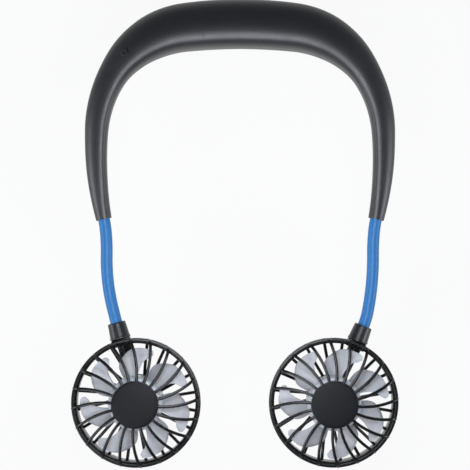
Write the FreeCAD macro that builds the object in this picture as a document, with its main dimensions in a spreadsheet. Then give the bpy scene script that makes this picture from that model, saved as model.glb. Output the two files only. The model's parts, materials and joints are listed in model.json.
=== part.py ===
"""Electric neck fan: a U-shaped band that carries a fan head on a bendable hose at each end.

The fan lies on its back on Z = 0, with +Z to the front, +Y to the crown of the band and X across.
The origin is under the crown's ridge, in the middle of the flat that the band rests on.
"""
import FreeCAD, Part
import math
import os
from types import SimpleNamespace

import Sketcher
from FreeCAD import Placement, Rotation, Vector

# Driving sizes, in millimetres, degrees and counts.
SIZES = {
    # Band, from the middle of the crown to the end of a leg: four tangent arcs
    "crown_length": 32.1,
    "crown_turn": 6.8,
    "shoulder_length": 53.0,
    "shoulder_turn": 54.0,
    "upper_leg_length": 33.3,
    "upper_leg_turn": 26.2,
    "lower_leg_length": 52.3,
    "lower_leg_turn": 15.5,
    # Band, widths along those arcs, depth, wall and the flat it rests on
    "crown_width": 28.6,
    "crown_end_width": 28.0,
    "shoulder_top_width": 26.2,
    "shoulder_side_width": 22.0,
    "shoulder_end_width": 17.3,
    "upper_leg_width": 13.7,
    "lower_leg_width": 11.9,
    "leg_end_width": 9.2,
    "crown_depth": 25.2,
    "rest_flat_cut": 0.6,
    "ridge_share": 0.42,
    "ridge_fade": 0.8,
    "ridge_fade_power": 8.0,
    "band_wall": 1.8,
    # Screws that hold the two band shells together
    "crown_screw_station": 41.0,
    "leg_screw_station": 104.0,
    "screw_radius": 1.0,
    "screw_head_radius": 1.9,
    "screw_head_height": 1.4,
    "screw_sink": 2.2,
    "screw_grip": 5.0,
    "screw_boss_wall": 1.3,
    "screw_clearance": 0.1,
    # Cell and its welded tabs
    "cell_radius": 9.2,
    "cell_length": 65.2,
    "cell_inset": 2.4,
    "tab_width": 8.0,
    "tab_thickness": 0.3,
    # Control board, under the left shoulder
    "board_station": 64.0,
    "board_length": 24.0,
    "board_width": 11.0,
    "board_thickness": 1.0,
    "board_post_radius": 1.6,
    "board_post_spacing": 15.0,
    "chip_side": 3.2,
    "chip_height": 1.1,
    "light_length": 1.6,
    "light_height": 0.7,
    # Charging socket, on the board, with its mouth in the band's outer edge
    "socket_width": 7.5,
    "socket_depth": 5.6,
    "socket_height": 2.6,
    "socket_wall": 0.3,
    "socket_shift": 6.0,
    "socket_recess": 1.0,
    "socket_clearance": 0.25,
    # Power button over its tact switch
    "button_radius": 2.3,
    "button_offset": 1.0,
    "button_shift": 6.6,
    "button_proud": 0.5,
    "button_slope": 17.4,
    "button_lip": 0.6,
    "button_lip_height": 1.7,
    "button_clearance": 0.1,
    "switch_side": 4.5,
    "switch_height": 3.0,
    "plunger_radius": 1.0,
    "plunger_length": 1.35,
    "plunger_rise": 0.6,
    "switch_well": 1.5,
    "plunger_clearance": 0.05,
    # Hose sleeve: radius, wall, hidden ends and the runs from band to collar
    "hose_radius": 3.5,
    "hose_wall": 0.55,
    "hose_seat": 6.0,
    "collar_seat": 5.0,
    "hose_clearance": 0.1,
    "mouth_run": 7.0,
    "upper_run": 14.0,
    "left_lower_run": 30.8,
    "right_lower_run": 32.7,
    "collar_run": 9.0,
    "left_mouth_turn": -7.3,
    "left_upper_turn": -6.2,
    "left_lower_turn": 14.9,
    "left_collar_turn": 0.5,
    "right_mouth_turn": -6.8,
    "right_upper_turn": -6.1,
    "right_lower_turn": 11.3,
    "right_collar_turn": 11.1,
    # Gooseneck core inside the sleeve: ball-ended segments and the crimped ferrules
    "core_clearance": 0.15,
    "core_bore": 0.9,
    "ball_radius": 2.2,
    "ball_clearance": 0.06,
    "ball_neck_radius": 1.5,
    "ball_setback": 2.1,
    "end_joint_distance": 8.0,
    "ferrule_length": 8.0,
    "ferrule_gap": 0.2,
    "arm_lead_radius": 0.6,
    "band_lead_radius": 0.8,
    "lead_clearance": 0.4,
    "lead_past_cell": 5.0,
    # Collar between the hose and the fan head
    "collar_top_radius": 5.2,
    "collar_base_radius": 5.8,
    "collar_length": 8.4,
    "collar_floor": 0.6,
    "flange_radius": 6.1,
    "flange_thickness": 1.1,
    "saddle_height": 0.6,
    "saddle_root": 33.4,
    "saddle_width": 11.0,
    "saddle_depth": 8.8,
    "lead_hole_radius": 1.2,
    # Fan head casing, measured from the parting plane of its two grilles
    "head_front": 15.0,
    "head_rear": 15.0,
    "rim_radius": 37.5,
    "rim_wall": 2.2,
    "front_rim_height": 4.5,
    "rear_rim_step": 0.5,
    "rear_rim_wall": 2.6,
    "rear_rim_height": 6.5,
    "lip_height": 2.5,
    "lip_clearance": 0.15,
    "shoulder_drop": 5.5,
    "shoulder_inset": 3.0,
    "shoulder_radius": 4.5,
    "dome_radius": 95.0,
    "grille_thickness": 2.0,
    # Grille ribs
    "rib_count": 20,
    "rib_width": 1.75,
    "rib_bow_radius": 45.6,
    "rib_bow_centre": 47.8,
    "rear_rib_width": 1.9,
    "rear_rib_bow_radius": 597.3,
    "rear_rib_bow_centre": 600.0,
    "hub_radius": 13.6,
    "rear_hub_radius": 15.0,
    "cap_radius": 13.3,
    "cap_edge": 0.5,
    "cap_thickness": 1.2,
    "cap_dome_radius": 120.0,
    "cap_peg_radius": 2.0,
    "cap_peg_length": 1.6,
    "cap_clearance": 0.05,
    "strut_width": 6.6,
    "strut_thickness": 3.0,
    # Impeller
    "impeller_radius": 32.2,
    "blade_count": 7,
    "left_blade_phase": 27.7,
    "right_blade_phase": 4.4,
    "blade_thickness": 1.2,
    "blade_root_chord": 13.0,
    "blade_root_pitch": 42.0,
    "blade_root_sweep": 4.6,
    "blade_tip_chord": 22.6,
    "blade_tip_pitch": 21.0,
    "blade_centre_height": 2.65,
    "impeller_hub_radius": 15.6,
    "impeller_hub_wall": 1.4,
    "impeller_hub_front": 10.0,
    "impeller_hub_rear": 3.5,
    "impeller_hub_chamfer": 1.2,
    "impeller_boss_radius": 2.8,
    "impeller_boss_length": 5.4,
    # Motor
    "motor_radius": 10.0,
    "motor_front": 2.6,
    "motor_wall": 0.8,
    "motor_clearance": 0.12,
    "motor_cup_wall": 1.5,
    "motor_cup_height": 7.0,
    "end_cap_thickness": 2.0,
    "end_cap_spigot": 1.0,
    "shaft_radius": 1.0,
    "shaft_clearance": 0.03,
    "press_clearance": 0.01,
    "bush_radius": 2.5,
    "bush_length": 2.2,
    "magnet_thickness": 1.2,
    "magnet_length": 9.0,
    "magnet_angle": 150.0,
    "armature_gap": 0.5,
    "armature_length": 6.4,
    "commutator_radius": 2.4,
    "commutator_length": 2.6,
    "brush_width": 1.6,
    "brush_thickness": 0.6,
    "brush_length": 2.2,
    "motor_screw_spread": 6.0,
    "motor_screw_head_height": 0.9,
    "motor_screw_length": 3.2,
}

SIDES = {"left": -1, "right": 1}
CORE_SEGMENTS = 3
SECTION_POINTS = 9
OVERCUT = 1.0


class Size:
    """A number together with the expression that ties it to the sheet."""

    def __init__(self, value, text):
        self.value = value
        self.text = text

    def __float__(self):
        return float(self.value)

    def __neg__(self):
        return Size(-self.value, f"(-{self.text})")

    def __add__(self, other):
        other = as_size(other)
        return Size(self.value + other.value, f"({self.text} + {other.text})")

    def __sub__(self, other):
        other = as_size(other)
        return Size(self.value - other.value, f"({self.text} - {other.text})")

    def __mul__(self, other):
        other = as_size(other)
        return Size(self.value * other.value, f"({self.text} * {other.text})")

    def __truediv__(self, other):
        other = as_size(other)
        return Size(self.value / other.value, f"({self.text} / {other.text})")


def as_size(number):
    """Makes a plain number usable beside sizes from the sheet."""
    return number if isinstance(number, Size) else Size(number, repr(number))


def sine(angle):
    """The sine of an angle in degrees, still tied to the sheet."""
    return Size(math.sin(math.radians(angle.value)), f"sin({angle.text})")


def cosine(angle):
    """The cosine of an angle in degrees, still tied to the sheet."""
    return Size(math.cos(math.radians(angle.value)), f"cos({angle.text})")


def make_sheet(doc):
    """Writes the driving sizes to the sheet and returns them by name."""
    sheet = doc.addObject("Spreadsheet::Sheet", "sizes")
    for row, (name, value) in enumerate(SIZES.items(), start=1):
        sheet.set(f"A{row}", name)
        sheet.set(f"B{row}", str(value))
        sheet.setAlias(f"B{row}", name)
    doc.recompute()
    return SimpleNamespace(**{name: Size(getattr(sheet, name), f"sizes.{name}") for name in SIZES})


class Route:
    """A flat path of straight runs and tangent arcs at one height, measured from its zero point."""

    def __init__(self, start, heading, runs, zero=0.0):
        self.runs = []
        self.zero = zero
        travelled = 0.0
        point = Vector(start)
        for length, turn in runs:
            self.runs.append((travelled, length, turn, point, heading))
            point = self.along(point, heading, length, turn, length)
            heading += turn
            travelled += length
        self.length = travelled

    @staticmethod
    def along(point, heading, length, turn, distance):
        """The point that lies some distance into one run."""
        angle = math.radians(heading)
        bend = math.radians(turn) / length
        if abs(bend) < 1e-9:
            return point + Vector(math.cos(angle), math.sin(angle), 0) * distance
        swung = angle + bend * distance
        across = math.sin(swung) - math.sin(angle)
        up = math.cos(angle) - math.cos(swung)
        return point + Vector(across, up, 0) / bend

    def run_at(self, distance):
        """The run that holds a distance; the first and last runs carry on past the ends."""
        travelled = distance + self.zero
        for run in reversed(self.runs):
            if travelled >= run[0] - 1e-9:
                return run, travelled - run[0]
        return self.runs[0], travelled

    def point(self, distance):
        """The point at a distance from the zero point."""
        (_, length, turn, start, heading), into = self.run_at(distance)
        return self.along(start, heading, length, turn, into)

    def heading(self, distance):
        """The direction of travel there, in degrees from +X."""
        (_, length, turn, _, heading), into = self.run_at(distance)
        return heading + turn * into / length

    def tangent(self, distance):
        """The direction of travel there, as a unit vector."""
        angle = math.radians(self.heading(distance))
        return Vector(math.cos(angle), math.sin(angle), 0)

    def wire(self, begin, end):
        """The stretch between two distances as lines and arcs."""
        marks = [run[0] - self.zero for run in self.runs]
        stops = [begin] + [mark for mark in marks if begin + 1e-6 < mark < end - 1e-6] + [end]
        edges = []
        for low, high in zip(stops, stops[1:]):
            first, middle, last = self.point(low), self.point((low + high) / 2), self.point(high)
            if abs(self.heading(high) - self.heading(low)) < 1e-6:
                edges.append(Part.LineSegment(first, last).toShape())
            else:
                edges.append(Part.Arc(first, middle, last).toShape())
        return Part.Wire(edges)

    def rod(self, begin, end, radius):
        """A round rod along the stretch between two distances."""
        ring = Part.Wire(Part.Circle(self.point(begin), self.tangent(begin), radius).toShape())
        return self.wire(begin, end).makePipeShell([ring], True, False)


def origin_feature(body, role):
    """One of the body's own origin planes or axes."""
    return next(feature for feature in body.Origin.OriginFeatures if feature.Role == role)


def add_sketch(body, name, role, lift=None):
    """Adds a sketch on one of the body's own planes, lifted along that plane's normal."""
    sketch = body.newObject("Sketcher::SketchObject", name)
    sketch.AttachmentSupport = [(origin_feature(body, role), "")]
    sketch.MapMode = "FlatFace"
    if lift is not None:
        sketch.AttachmentOffset = Placement(Vector(0, 0, float(lift)), Rotation())
        sketch.setExpression("AttachmentOffset.Base.z", lift.text)
    return sketch


def tie_point(sketch, geometry, position, across, up):
    """Ties a point of the sketch to the sheet by its distances from the sketch's origin."""
    for kind, axis, size in (("DistanceX", -2, across), ("DistanceY", -1, up)):
        if abs(size.value) < 1e-9:
            sketch.addConstraint(Sketcher.Constraint("PointOnObject", geometry, position, axis))
            continue
        ends = (-1, 1, geometry, position) if size.value > 0 else (geometry, position, -1, 1)
        length = size if size.value > 0 else -size
        bind(sketch, Sketcher.Constraint(kind, *ends, length.value), length)


def bind(sketch, constraint, size):
    """Adds a constraint whose value follows the sheet."""
    index = sketch.addConstraint(constraint)
    name = f"tie_{index}"
    sketch.renameConstraint(index, name)
    sketch.setExpression(f"Constraints.{name}", size.text)


def arc_between(first, last, radius):
    """An arc from first to last that bulges to the left of travel, as counter-clockwise geometry."""
    chord = last - first
    left = Vector(-chord.y, chord.x, 0).normalize()
    reach = math.sqrt(radius ** 2 - (chord.Length / 2) ** 2)
    centre = (first + last) / 2 - left * reach
    begin = math.atan2(last.y - centre.y, last.x - centre.x)
    end = math.atan2(first.y - centre.y, first.x - centre.x)
    return Part.ArcOfCircle(Part.Circle(centre, Vector(0, 0, 1), radius), begin, end)


def draw_outline(sketch, corners):
    """Draws a closed outline; a corner's third value is the radius of the arc that leaves it."""
    corners = [(as_size(corner[0]), as_size(corner[1])) + tuple(corner[2:]) for corner in corners]
    places = [Vector(float(corner[0]), float(corner[1]), 0) for corner in corners]
    first = sketch.GeometryCount
    ends = []
    for index, corner in enumerate(corners):
        here, there = places[index], places[(index + 1) % len(places)]
        if len(corner) == 3:
            geometry = sketch.addGeometry(arc_between(here, there, float(corner[2])), False)
            bind(sketch, Sketcher.Constraint("Radius", geometry, float(corner[2])), corner[2])
            ends.append((2, 1))
        else:
            sketch.addGeometry(Part.LineSegment(here, there), False)
            ends.append((1, 2))
    for index, corner in enumerate(corners):
        after = (index + 1) % len(corners)
        arriving, leaving = ends[index][1], ends[after][0]
        sketch.addConstraint(
            Sketcher.Constraint("Coincident", first + index, arriving, first + after, leaving)
        )
        tie_point(sketch, first + index, ends[index][0], corner[0], corner[1])


def draw_circles(sketch, centres, radius):
    """Draws equal circles tied to the sheet."""
    for across, up in centres:
        place = Vector(float(across), float(up), 0)
        geometry = sketch.addGeometry(Part.Circle(place, Vector(0, 0, 1), float(radius)), False)
        tie_point(sketch, geometry, 3, as_size(across), as_size(up))
        bind(sketch, Sketcher.Constraint("Radius", geometry, float(radius)), radius)


def turned_body(doc, label, corners, angle=None):
    """A body turned about its Z axis from corners given as radius and height."""
    body = doc.addObject("PartDesign::Body", label)
    sketch = add_sketch(body, f"{label}_profile", "XZ_Plane")
    draw_outline(sketch, corners)
    turned = body.newObject("PartDesign::Revolution", f"{label}_turned")
    turned.Profile = sketch
    turned.ReferenceAxis = (sketch, ["V_Axis"])
    turned.Angle = 360
    if angle is not None:
        turned.setExpression("Angle", angle.text)
    doc.recompute()
    return body


def tube_corners(inner, outer, bottom, top):
    """The profile of a plain tube."""
    return [(inner, bottom), (outer, bottom), (outer, top), (inner, top)]


def rod_corners(outer, bottom, top):
    """The profile of a plain rod."""
    return tube_corners(as_size(0.0), outer, bottom, top)


def padded_body(doc, label, corners, bottom, height):
    """A body padded upwards from an outline in its XY plane."""
    body = doc.addObject("PartDesign::Body", label)
    add_pad(body, f"{label}_pad", "XY_Plane", corners, bottom, height)
    doc.recompute()
    return body


def rectangle(width, depth, across=0.0, up=0.0):
    """The corners of a rectangle round a centre."""
    across, up = as_size(across), as_size(up)
    return [
        (across - width / 2, up - depth / 2),
        (across + width / 2, up - depth / 2),
        (across + width / 2, up + depth / 2),
        (across - width / 2, up + depth / 2),
    ]


def add_pad(body, name, role, corners, lift, length, symmetric=False):
    """Pads an outline on one of the body's planes."""
    sketch = add_sketch(body, f"{name}_outline", role, as_size(lift))
    draw_outline(sketch, corners)
    pad = body.newObject("PartDesign::Pad", name)
    pad.Profile = sketch
    pad.setExpression("Length", as_size(length).text)
    if symmetric:
        pad.SideType = "Symmetric"
    return pad


def cut_down(body, name, draw, lift, depth, role="XY_Plane", reverse=False):
    """Cuts a pocket, whose sketch the draw function fills, and checks that it took something away."""
    body.Document.recompute()
    before = body.Shape.Volume
    sketch = add_sketch(body, f"{name}_outline", role, as_size(lift))
    draw(sketch)
    pocket = body.newObject("PartDesign::Pocket", name)
    pocket.Profile = sketch
    pocket.Reversed = reverse
    pocket.setExpression("Length", as_size(depth).text)
    body.Document.recompute()
    if body.Shape.Volume >= before:
        raise RuntimeError(f"{name} cuts nothing")
    return pocket


def repeat_round(body, feature, name, count):
    """Repeats a feature evenly round the body's Z axis."""
    pattern = body.newObject("PartDesign::PolarPattern", name)
    pattern.Originals = [feature]
    pattern.Axis = (origin_feature(body, "Z_Axis"), [""])
    pattern.Angle = 360
    pattern.setExpression("Occurrences", count.text)
    body.Tip = pattern
    body.Document.recompute()
    return pattern


def solid_feature(doc, label, shape, placement=None):
    """A sub-part whose shape is worked out from the sheet's values."""
    feature = doc.addObject("Part::Feature", label)
    feature.Shape = shape
    if placement is not None:
        feature.Placement = placement
    return feature


def group(doc, label, members):
    """One sub-part made of several separate solids."""
    compound = doc.addObject("Part::Compound", label)
    compound.Links = members
    doc.recompute()
    return compound


class Band:
    """The neck band's centreline, cross-sections and stations."""

    def __init__(self, sizes):
        self.sizes = sizes
        half = [
            (float(sizes.crown_length), float(sizes.crown_turn)),
            (float(sizes.shoulder_length), float(sizes.shoulder_turn)),
            (float(sizes.upper_leg_length), float(sizes.upper_leg_turn)),
            (float(sizes.lower_leg_length), float(sizes.lower_leg_turn)),
        ]
        self.half_length = sum(length for length, _ in half)
        self.lean = sum(turn for _, turn in half) - 90
        self.middle = float(sizes.crown_depth) / 2 - float(sizes.rest_flat_cut)
        ridge_inset = float(sizes.ridge_share) * float(sizes.crown_width) / 2
        centre = Vector(0, ridge_inset, self.middle)
        to_left = Route(centre, 180, half)
        runs = [(length, -turn) for length, turn in list(reversed(half)) + half]
        start = to_left.point(self.half_length)
        self.spine = Route(start, to_left.heading(self.half_length) - 180, runs, zero=self.half_length)

    def stations(self):
        """Distances from the crown's middle with the band's width there, from middle to end."""
        sizes = self.sizes
        crown = float(sizes.crown_length)
        shoulder = float(sizes.shoulder_length)
        knee = crown + shoulder + float(sizes.upper_leg_length)
        return [
            (0.0, float(sizes.crown_width)),
            (crown, float(sizes.crown_end_width)),
            (crown + shoulder / 3, float(sizes.shoulder_top_width)),
            (crown + shoulder * 2 / 3, float(sizes.shoulder_side_width)),
            (crown + shoulder, float(sizes.shoulder_end_width)),
            (knee, float(sizes.upper_leg_width)),
            (knee + float(sizes.lower_leg_length) / 2, float(sizes.lower_leg_width)),
            (self.half_length, float(sizes.leg_end_width)),
        ]

    def depth(self, distance, width):
        """The depth there: flatter than wide at the crown, round at the legs' ends."""
        share = abs(distance) / self.half_length
        crown_ratio = float(self.sizes.crown_depth) / float(self.sizes.crown_width)
        return width * (crown_ratio + (1 - crown_ratio) * share)

    def ridge(self, distance):
        """How far the ridge leans to the inner edge there, as a share of half the width."""
        share = abs(distance) / self.half_length
        fade = float(self.sizes.ridge_fade) * share ** float(self.sizes.ridge_fade_power)
        return float(self.sizes.ridge_share) * (1 - fade)

    def outward(self, distance):
        """The direction from the centreline to the band's outer edge."""
        tangent = self.spine.tangent(distance)
        return Vector(-tangent.y, tangent.x, 0)

    def place(self, distance, outward=0.0, height=0.0):
        """A point given by its station, its offset towards the outer edge and its height."""
        return self.spine.point(distance) + self.outward(distance) * outward + Vector(0, 0, height)

    def half_section(self, distance, width, inset, face):
        """Half an egg-shaped section, with its ridge nearer the inner edge, closed at the parting plane."""
        half_width = width / 2 - inset
        half_depth = self.depth(distance, width) / 2 - inset
        ridge = self.ridge(distance)
        points = []
        for index in range(SECTION_POINTS):
            angle = math.pi * index / (SECTION_POINTS - 1)
            inward = half_width * (math.cos(angle) + ridge * math.sin(angle) ** 2)
            points.append(self.place(distance, -inward, face * half_depth * math.sin(angle)))
        curve = Part.BSplineCurve()
        curve.interpolate(points)
        closing = Part.LineSegment(points[-1], points[0])
        return Part.Wire([curve.toShape(), closing.toShape()])

    def half_form(self, inset, face, past=0.0):
        """The front or rear half of the band as a filled form, pulled in by an inset."""
        half = self.stations()
        marks = [(-distance, width) for distance, width in reversed(half)] + half[1:]
        first, last = marks[0], marks[-1]
        if past:
            marks = [(first[0] - past, first[1])] + marks + [(last[0] + past, last[1])]
        return Part.makeLoft([self.half_section(*mark, inset, face) for mark in marks], True, False)

    def frame(self, distance, outward=0.0, height=0.0):
        """A placement at a station: local X along the band, local Y to the outer edge, Z to the front."""
        heading = self.spine.heading(distance)
        return Placement(self.place(distance, outward, height), Rotation(Vector(0, 0, 1), heading))


def upright(place, radius, low, high):
    """An upright cylinder between two heights over a point."""
    return Part.makeCylinder(radius, high - low, Vector(place.x, place.y, low))


def band_screw_places(band):
    """The four points where screws hold the band's shells together."""
    sizes = band.sizes
    stations = (float(sizes.crown_screw_station), float(sizes.leg_screw_station))
    return [band.place(side * station) for station in stations for side in SIDES.values()]


def socket_frame(band):
    """The charging socket's place: at the board, with its mouth just inside the band's outer edge."""
    sizes = band.sizes
    station = -float(sizes.board_station)
    width = interpolate_width(band, float(sizes.board_station))
    shift = float(sizes.socket_shift)
    placement = band.frame(station)
    mouth = width / 2 - float(sizes.socket_recess)
    placement.Base = placement.multVec(Vector(shift, mouth, 0))
    return placement


def interpolate_width(band, distance):
    """The band's width between two of its stations."""
    stations = band.stations()
    for (low, low_width), (high, high_width) in zip(stations, stations[1:]):
        if distance <= high:
            return low_width + (high_width - low_width) * (distance - low) / (high - low)
    return stations[-1][1]


def button_place(band):
    """The point on the parting plane under the power button."""
    sizes = band.sizes
    placement = band.frame(-float(sizes.board_station))
    return placement.multVec(Vector(-float(sizes.button_shift), float(sizes.button_offset), 0))


def build_band_shells(doc, sizes, band):
    """The front and rear shells with their bosses, holes and hose bores."""
    wall = float(sizes.band_wall)
    boss_radius = float(sizes.screw_radius) + float(sizes.screw_boss_wall)
    hole_radius = float(sizes.screw_radius) + float(sizes.screw_clearance)
    sink_radius = float(sizes.screw_head_radius) + float(sizes.screw_clearance)
    reach = float(sizes.crown_depth)
    grip_top = band.middle + float(sizes.screw_grip) + float(sizes.screw_clearance)
    bores = [hose_bore(sizes, band, side) for side in SIDES.values()]
    socket = socket_frame(band)
    slot_width = float(sizes.socket_width) + 2 * float(sizes.socket_clearance)
    slot_height = float(sizes.socket_height) + 2 * float(sizes.socket_clearance)
    slot_depth = 2 * float(sizes.socket_depth)
    slot_corner = Vector(-slot_width / 2, -slot_depth / 2, -slot_height / 2)
    slot = Part.makeBox(slot_width, slot_depth, slot_height, slot_corner)
    slot.Placement = socket
    parts = []
    for label, face in (("band_front_shell", 1), ("band_rear_shell", -1)):
        form = band.half_form(0.0, face)
        shell = form.cut(band.half_form(wall, face, past=OVERCUT))
        low, high = sorted((band.middle, band.middle + face * reach))
        bosses = [upright(place, boss_radius, low, high) for place in band_screw_places(band)]
        if face < 0:
            bosses += board_posts(sizes, band, low)
        shell = shell.fuse([boss.common(form) for boss in bosses])
        holes = [slot] + bores
        for place in band_screw_places(band):
            holes.append(upright(place, hole_radius, band.middle - reach, grip_top))
            if face < 0:
                seat = screw_seat(sizes, band, place)
                holes.append(upright(place, sink_radius, band.middle - reach, seat))
        if face > 0:
            button_hole = float(sizes.button_radius) + float(sizes.button_clearance)
            holes.append(upright(button_place(band), button_hole, band.middle, band.middle + reach))
        else:
            span = 4 * reach
            under = Part.makeBox(2 * span, 2 * span, reach, Vector(-span, -span - span / 2, -reach))
            holes.append(under)
        shell = shell.cut(holes)
        parts.append(solid_feature(doc, label, shell.removeSplitter()))
    return parts


def screw_seat(sizes, band, place):
    """The height at which a band screw's head bears on the rear shell."""
    distance = float(sizes.crown_screw_station)
    if place.y < band.place(float(sizes.crown_screw_station)).y - 1:
        distance = float(sizes.leg_screw_station)
    depth = band.depth(distance, interpolate_width(band, distance))
    return max(band.middle - depth / 2, 0.0) + float(sizes.screw_sink)


def board_posts(sizes, band, low):
    """Two posts that stand on the rear shell and carry the control board."""
    placement = band.frame(-float(sizes.board_station))
    top = board_bottom(sizes, band)
    half = float(sizes.board_post_spacing) / 2
    places = [placement.multVec(Vector(shift, 0, 0)) for shift in (-half, half)]
    return [upright(place, float(sizes.board_post_radius), low, top) for place in places]


def board_top(sizes, band):
    """The height of the board's face, with the charging socket centred on the parting plane."""
    return band.middle - float(sizes.socket_height) / 2


def board_bottom(sizes, band):
    """The height of the board's underside."""
    return board_top(sizes, band) - float(sizes.board_thickness)


def hose_bore(sizes, band, side):
    """The round bore in a leg's end that takes the sleeve's end and the upper ferrule."""
    radius = float(sizes.hose_radius) + float(sizes.hose_clearance)
    depth = float(sizes.hose_seat) + float(sizes.ferrule_length) + float(sizes.hose_clearance)
    end = band.place(side * band.half_length)
    inwards = band.spine.tangent(side * band.half_length) * -side
    return Part.makeCylinder(radius, depth + OVERCUT, end - inwards * OVERCUT, inwards)


def build_band_screws(doc, sizes, band):
    """The screws that hold the band's shells together."""
    screws = []
    for place in band_screw_places(band):
        seat = screw_seat(sizes, band, place)
        head = upright(place, float(sizes.screw_head_radius), seat - float(sizes.screw_head_height), seat)
        shank = upright(place, float(sizes.screw_radius), seat, band.middle + float(sizes.screw_grip))
        screws.append(head.fuse(shank).removeSplitter())
    return [solid_feature(doc, "band_screws", Part.makeCompound(screws))]


def build_cell(doc, sizes, band):
    """The cell across the crown and the tab welded to each of its ends."""
    half_length = sizes.cell_length / 2
    cell = turned_body(doc, "battery_cell", rod_corners(sizes.cell_radius, -half_length, half_length))
    across = Rotation(Vector(0, 1, 0), 90)
    cell.Placement = Placement(band.place(0.0, -float(sizes.cell_inset)), across)
    tabs = []
    for end in (-1, 1):
        bottom = half_length if end > 0 else -(half_length + sizes.tab_thickness)
        corners = rectangle(sizes.tab_width, sizes.tab_width)
        tab = padded_body(doc, f"cell_tab_{len(tabs)}", corners, bottom, sizes.tab_thickness)
        tab.Placement = cell.Placement
        tabs.append(tab)
    return [cell, group(doc, "battery_tabs", tabs)]


def build_controls(doc, sizes, band):
    """The board under the left shoulder with its chips, light, charging socket and switch."""
    ground = band.frame(-float(sizes.board_station), height=board_bottom(sizes, band) - band.middle)
    board_corners = rectangle(sizes.board_length, sizes.board_width)
    board = padded_body(doc, "control_board", board_corners, as_size(0.0), sizes.board_thickness)
    chips = []
    for index, shift in enumerate((-0.6, 0.9)):
        across, up = sizes.chip_side * shift, -sizes.board_width / 4
        corners = rectangle(sizes.chip_side, sizes.chip_side, across, up)
        chips.append(padded_body(doc, f"chip_{index}", corners, sizes.board_thickness, sizes.chip_height))
    light_place = sizes.board_width / 2 - sizes.light_length
    light_corners = rectangle(sizes.light_length, sizes.light_length / 2, 0.0, light_place)
    light = padded_body(doc, "charge_light", light_corners, sizes.board_thickness, sizes.light_height)
    well = [(-sizes.button_shift, sizes.button_offset)]
    switch_corners = rectangle(sizes.switch_side, sizes.switch_side, *well[0])
    switch = padded_body(doc, "tact_switch", switch_corners, sizes.board_thickness, sizes.switch_height)
    top = sizes.board_thickness + sizes.switch_height
    cut_down(
        switch,
        "tact_switch_well",
        lambda sketch: draw_circles(sketch, well, sizes.plunger_radius + sizes.plunger_clearance),
        top,
        sizes.switch_well,
    )
    for body in [board, light, switch] + chips:
        body.Placement = ground
    return [board, group(doc, "board_chips", chips), light, switch, build_socket(doc, sizes, band)]


def build_socket(doc, sizes, band):
    """The charging socket: a thin metal shell, open outwards, with a tongue inside."""
    wall = sizes.socket_wall
    body = doc.addObject("PartDesign::Body", "charging_socket")
    add_pad(
        body,
        "socket_block",
        "XZ_Plane",
        rectangle(sizes.socket_width, sizes.socket_height),
        as_size(0.0),
        sizes.socket_depth,
    )
    tongue = sizes.socket_height / 4
    inner_width = sizes.socket_width / 2 - wall
    inner_height = sizes.socket_height / 2 - wall
    tongue_width = sizes.socket_width / 4

    def draw_mouth(sketch):
        corners = [
            (-inner_width, -inner_height),
            (inner_width, -inner_height),
            (inner_width, inner_height),
            (-inner_width, inner_height),
        ]
        draw_outline(sketch, corners)
        draw_outline(sketch, rectangle(tongue_width * 2, tongue))

    mouth_depth = sizes.socket_depth - wall
    cut_down(body, "socket_mouth", draw_mouth, 0.0, mouth_depth, role="XZ_Plane", reverse=True)
    body.Placement = socket_frame(band)
    return body


def build_button(doc, sizes, band):
    """The power button, whose top follows the shoulder's slope, and the switch's plunger under it."""
    place = button_place(band)
    plunger_top = board_top(sizes, band) + float(sizes.switch_height) + float(sizes.plunger_rise)
    lip_top = plunger_top + float(sizes.button_lip_height)
    lip = upright(place, float(sizes.button_radius) + float(sizes.button_lip), plunger_top, lip_top)
    face = button_face_height(sizes, band)
    stem = upright(place, float(sizes.button_radius), plunger_top, face + 2 * float(sizes.button_radius))
    span = 6 * float(sizes.button_radius)
    above = Part.makeBox(span, span, span, Vector(-span / 2, -span / 2, 0))
    slope = band.frame(-float(sizes.board_station))
    tilt = Rotation(Vector(1, 0, 0), -float(sizes.button_slope))
    above.Placement = Placement(Vector(place.x, place.y, face), slope.Rotation.multiply(tilt))
    button = solid_feature(doc, "power_button", lip.fuse(stem).cut(above).removeSplitter())
    plunger_corners = rod_corners(sizes.plunger_radius, -sizes.plunger_length, as_size(0.0))
    plunger = turned_body(doc, "switch_plunger", plunger_corners)
    plunger.Placement = Placement(Vector(place.x, place.y, plunger_top), Rotation())
    return [button, plunger]


def button_face_height(sizes, band):
    """The height of the shoulder's surface over the button's middle, plus what the button stands proud."""
    distance = float(sizes.board_station) + float(sizes.button_shift)
    width = interpolate_width(band, distance)
    half_width = width / 2
    ridge = band.ridge(distance)
    share = -float(sizes.button_offset) / half_width
    lean = (1 - math.sqrt(1 + 4 * ridge * (ridge - share))) / (2 * ridge)
    rise = band.depth(distance, width) / 2 * math.sqrt(1 - lean ** 2)
    return band.middle + rise + float(sizes.button_proud)


def build_band_leads(doc, sizes, band):
    """The leads inside the band, from the board to the ferrule in each leg."""
    radius = float(sizes.band_lead_radius)
    board_end = float(sizes.board_length) / 2 + radius
    near = float(sizes.board_station) + board_end
    far = band.half_length - float(sizes.hose_seat) - float(sizes.ferrule_length) - 2 * radius
    leg = past_leg_boss(sizes) + [(far, 0.0)]
    left = [band.place(-distance, offset) for distance, offset in [(near, 0.0)] + leg]
    right = crown_crossing(sizes, band, board_end - float(sizes.board_station))
    right += [band.place(distance, offset) for distance, offset in leg]
    return [
        solid_feature(doc, "left_band_lead", round_lead(left, radius)),
        solid_feature(doc, "right_band_lead", round_lead(right, radius)),
    ]


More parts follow.
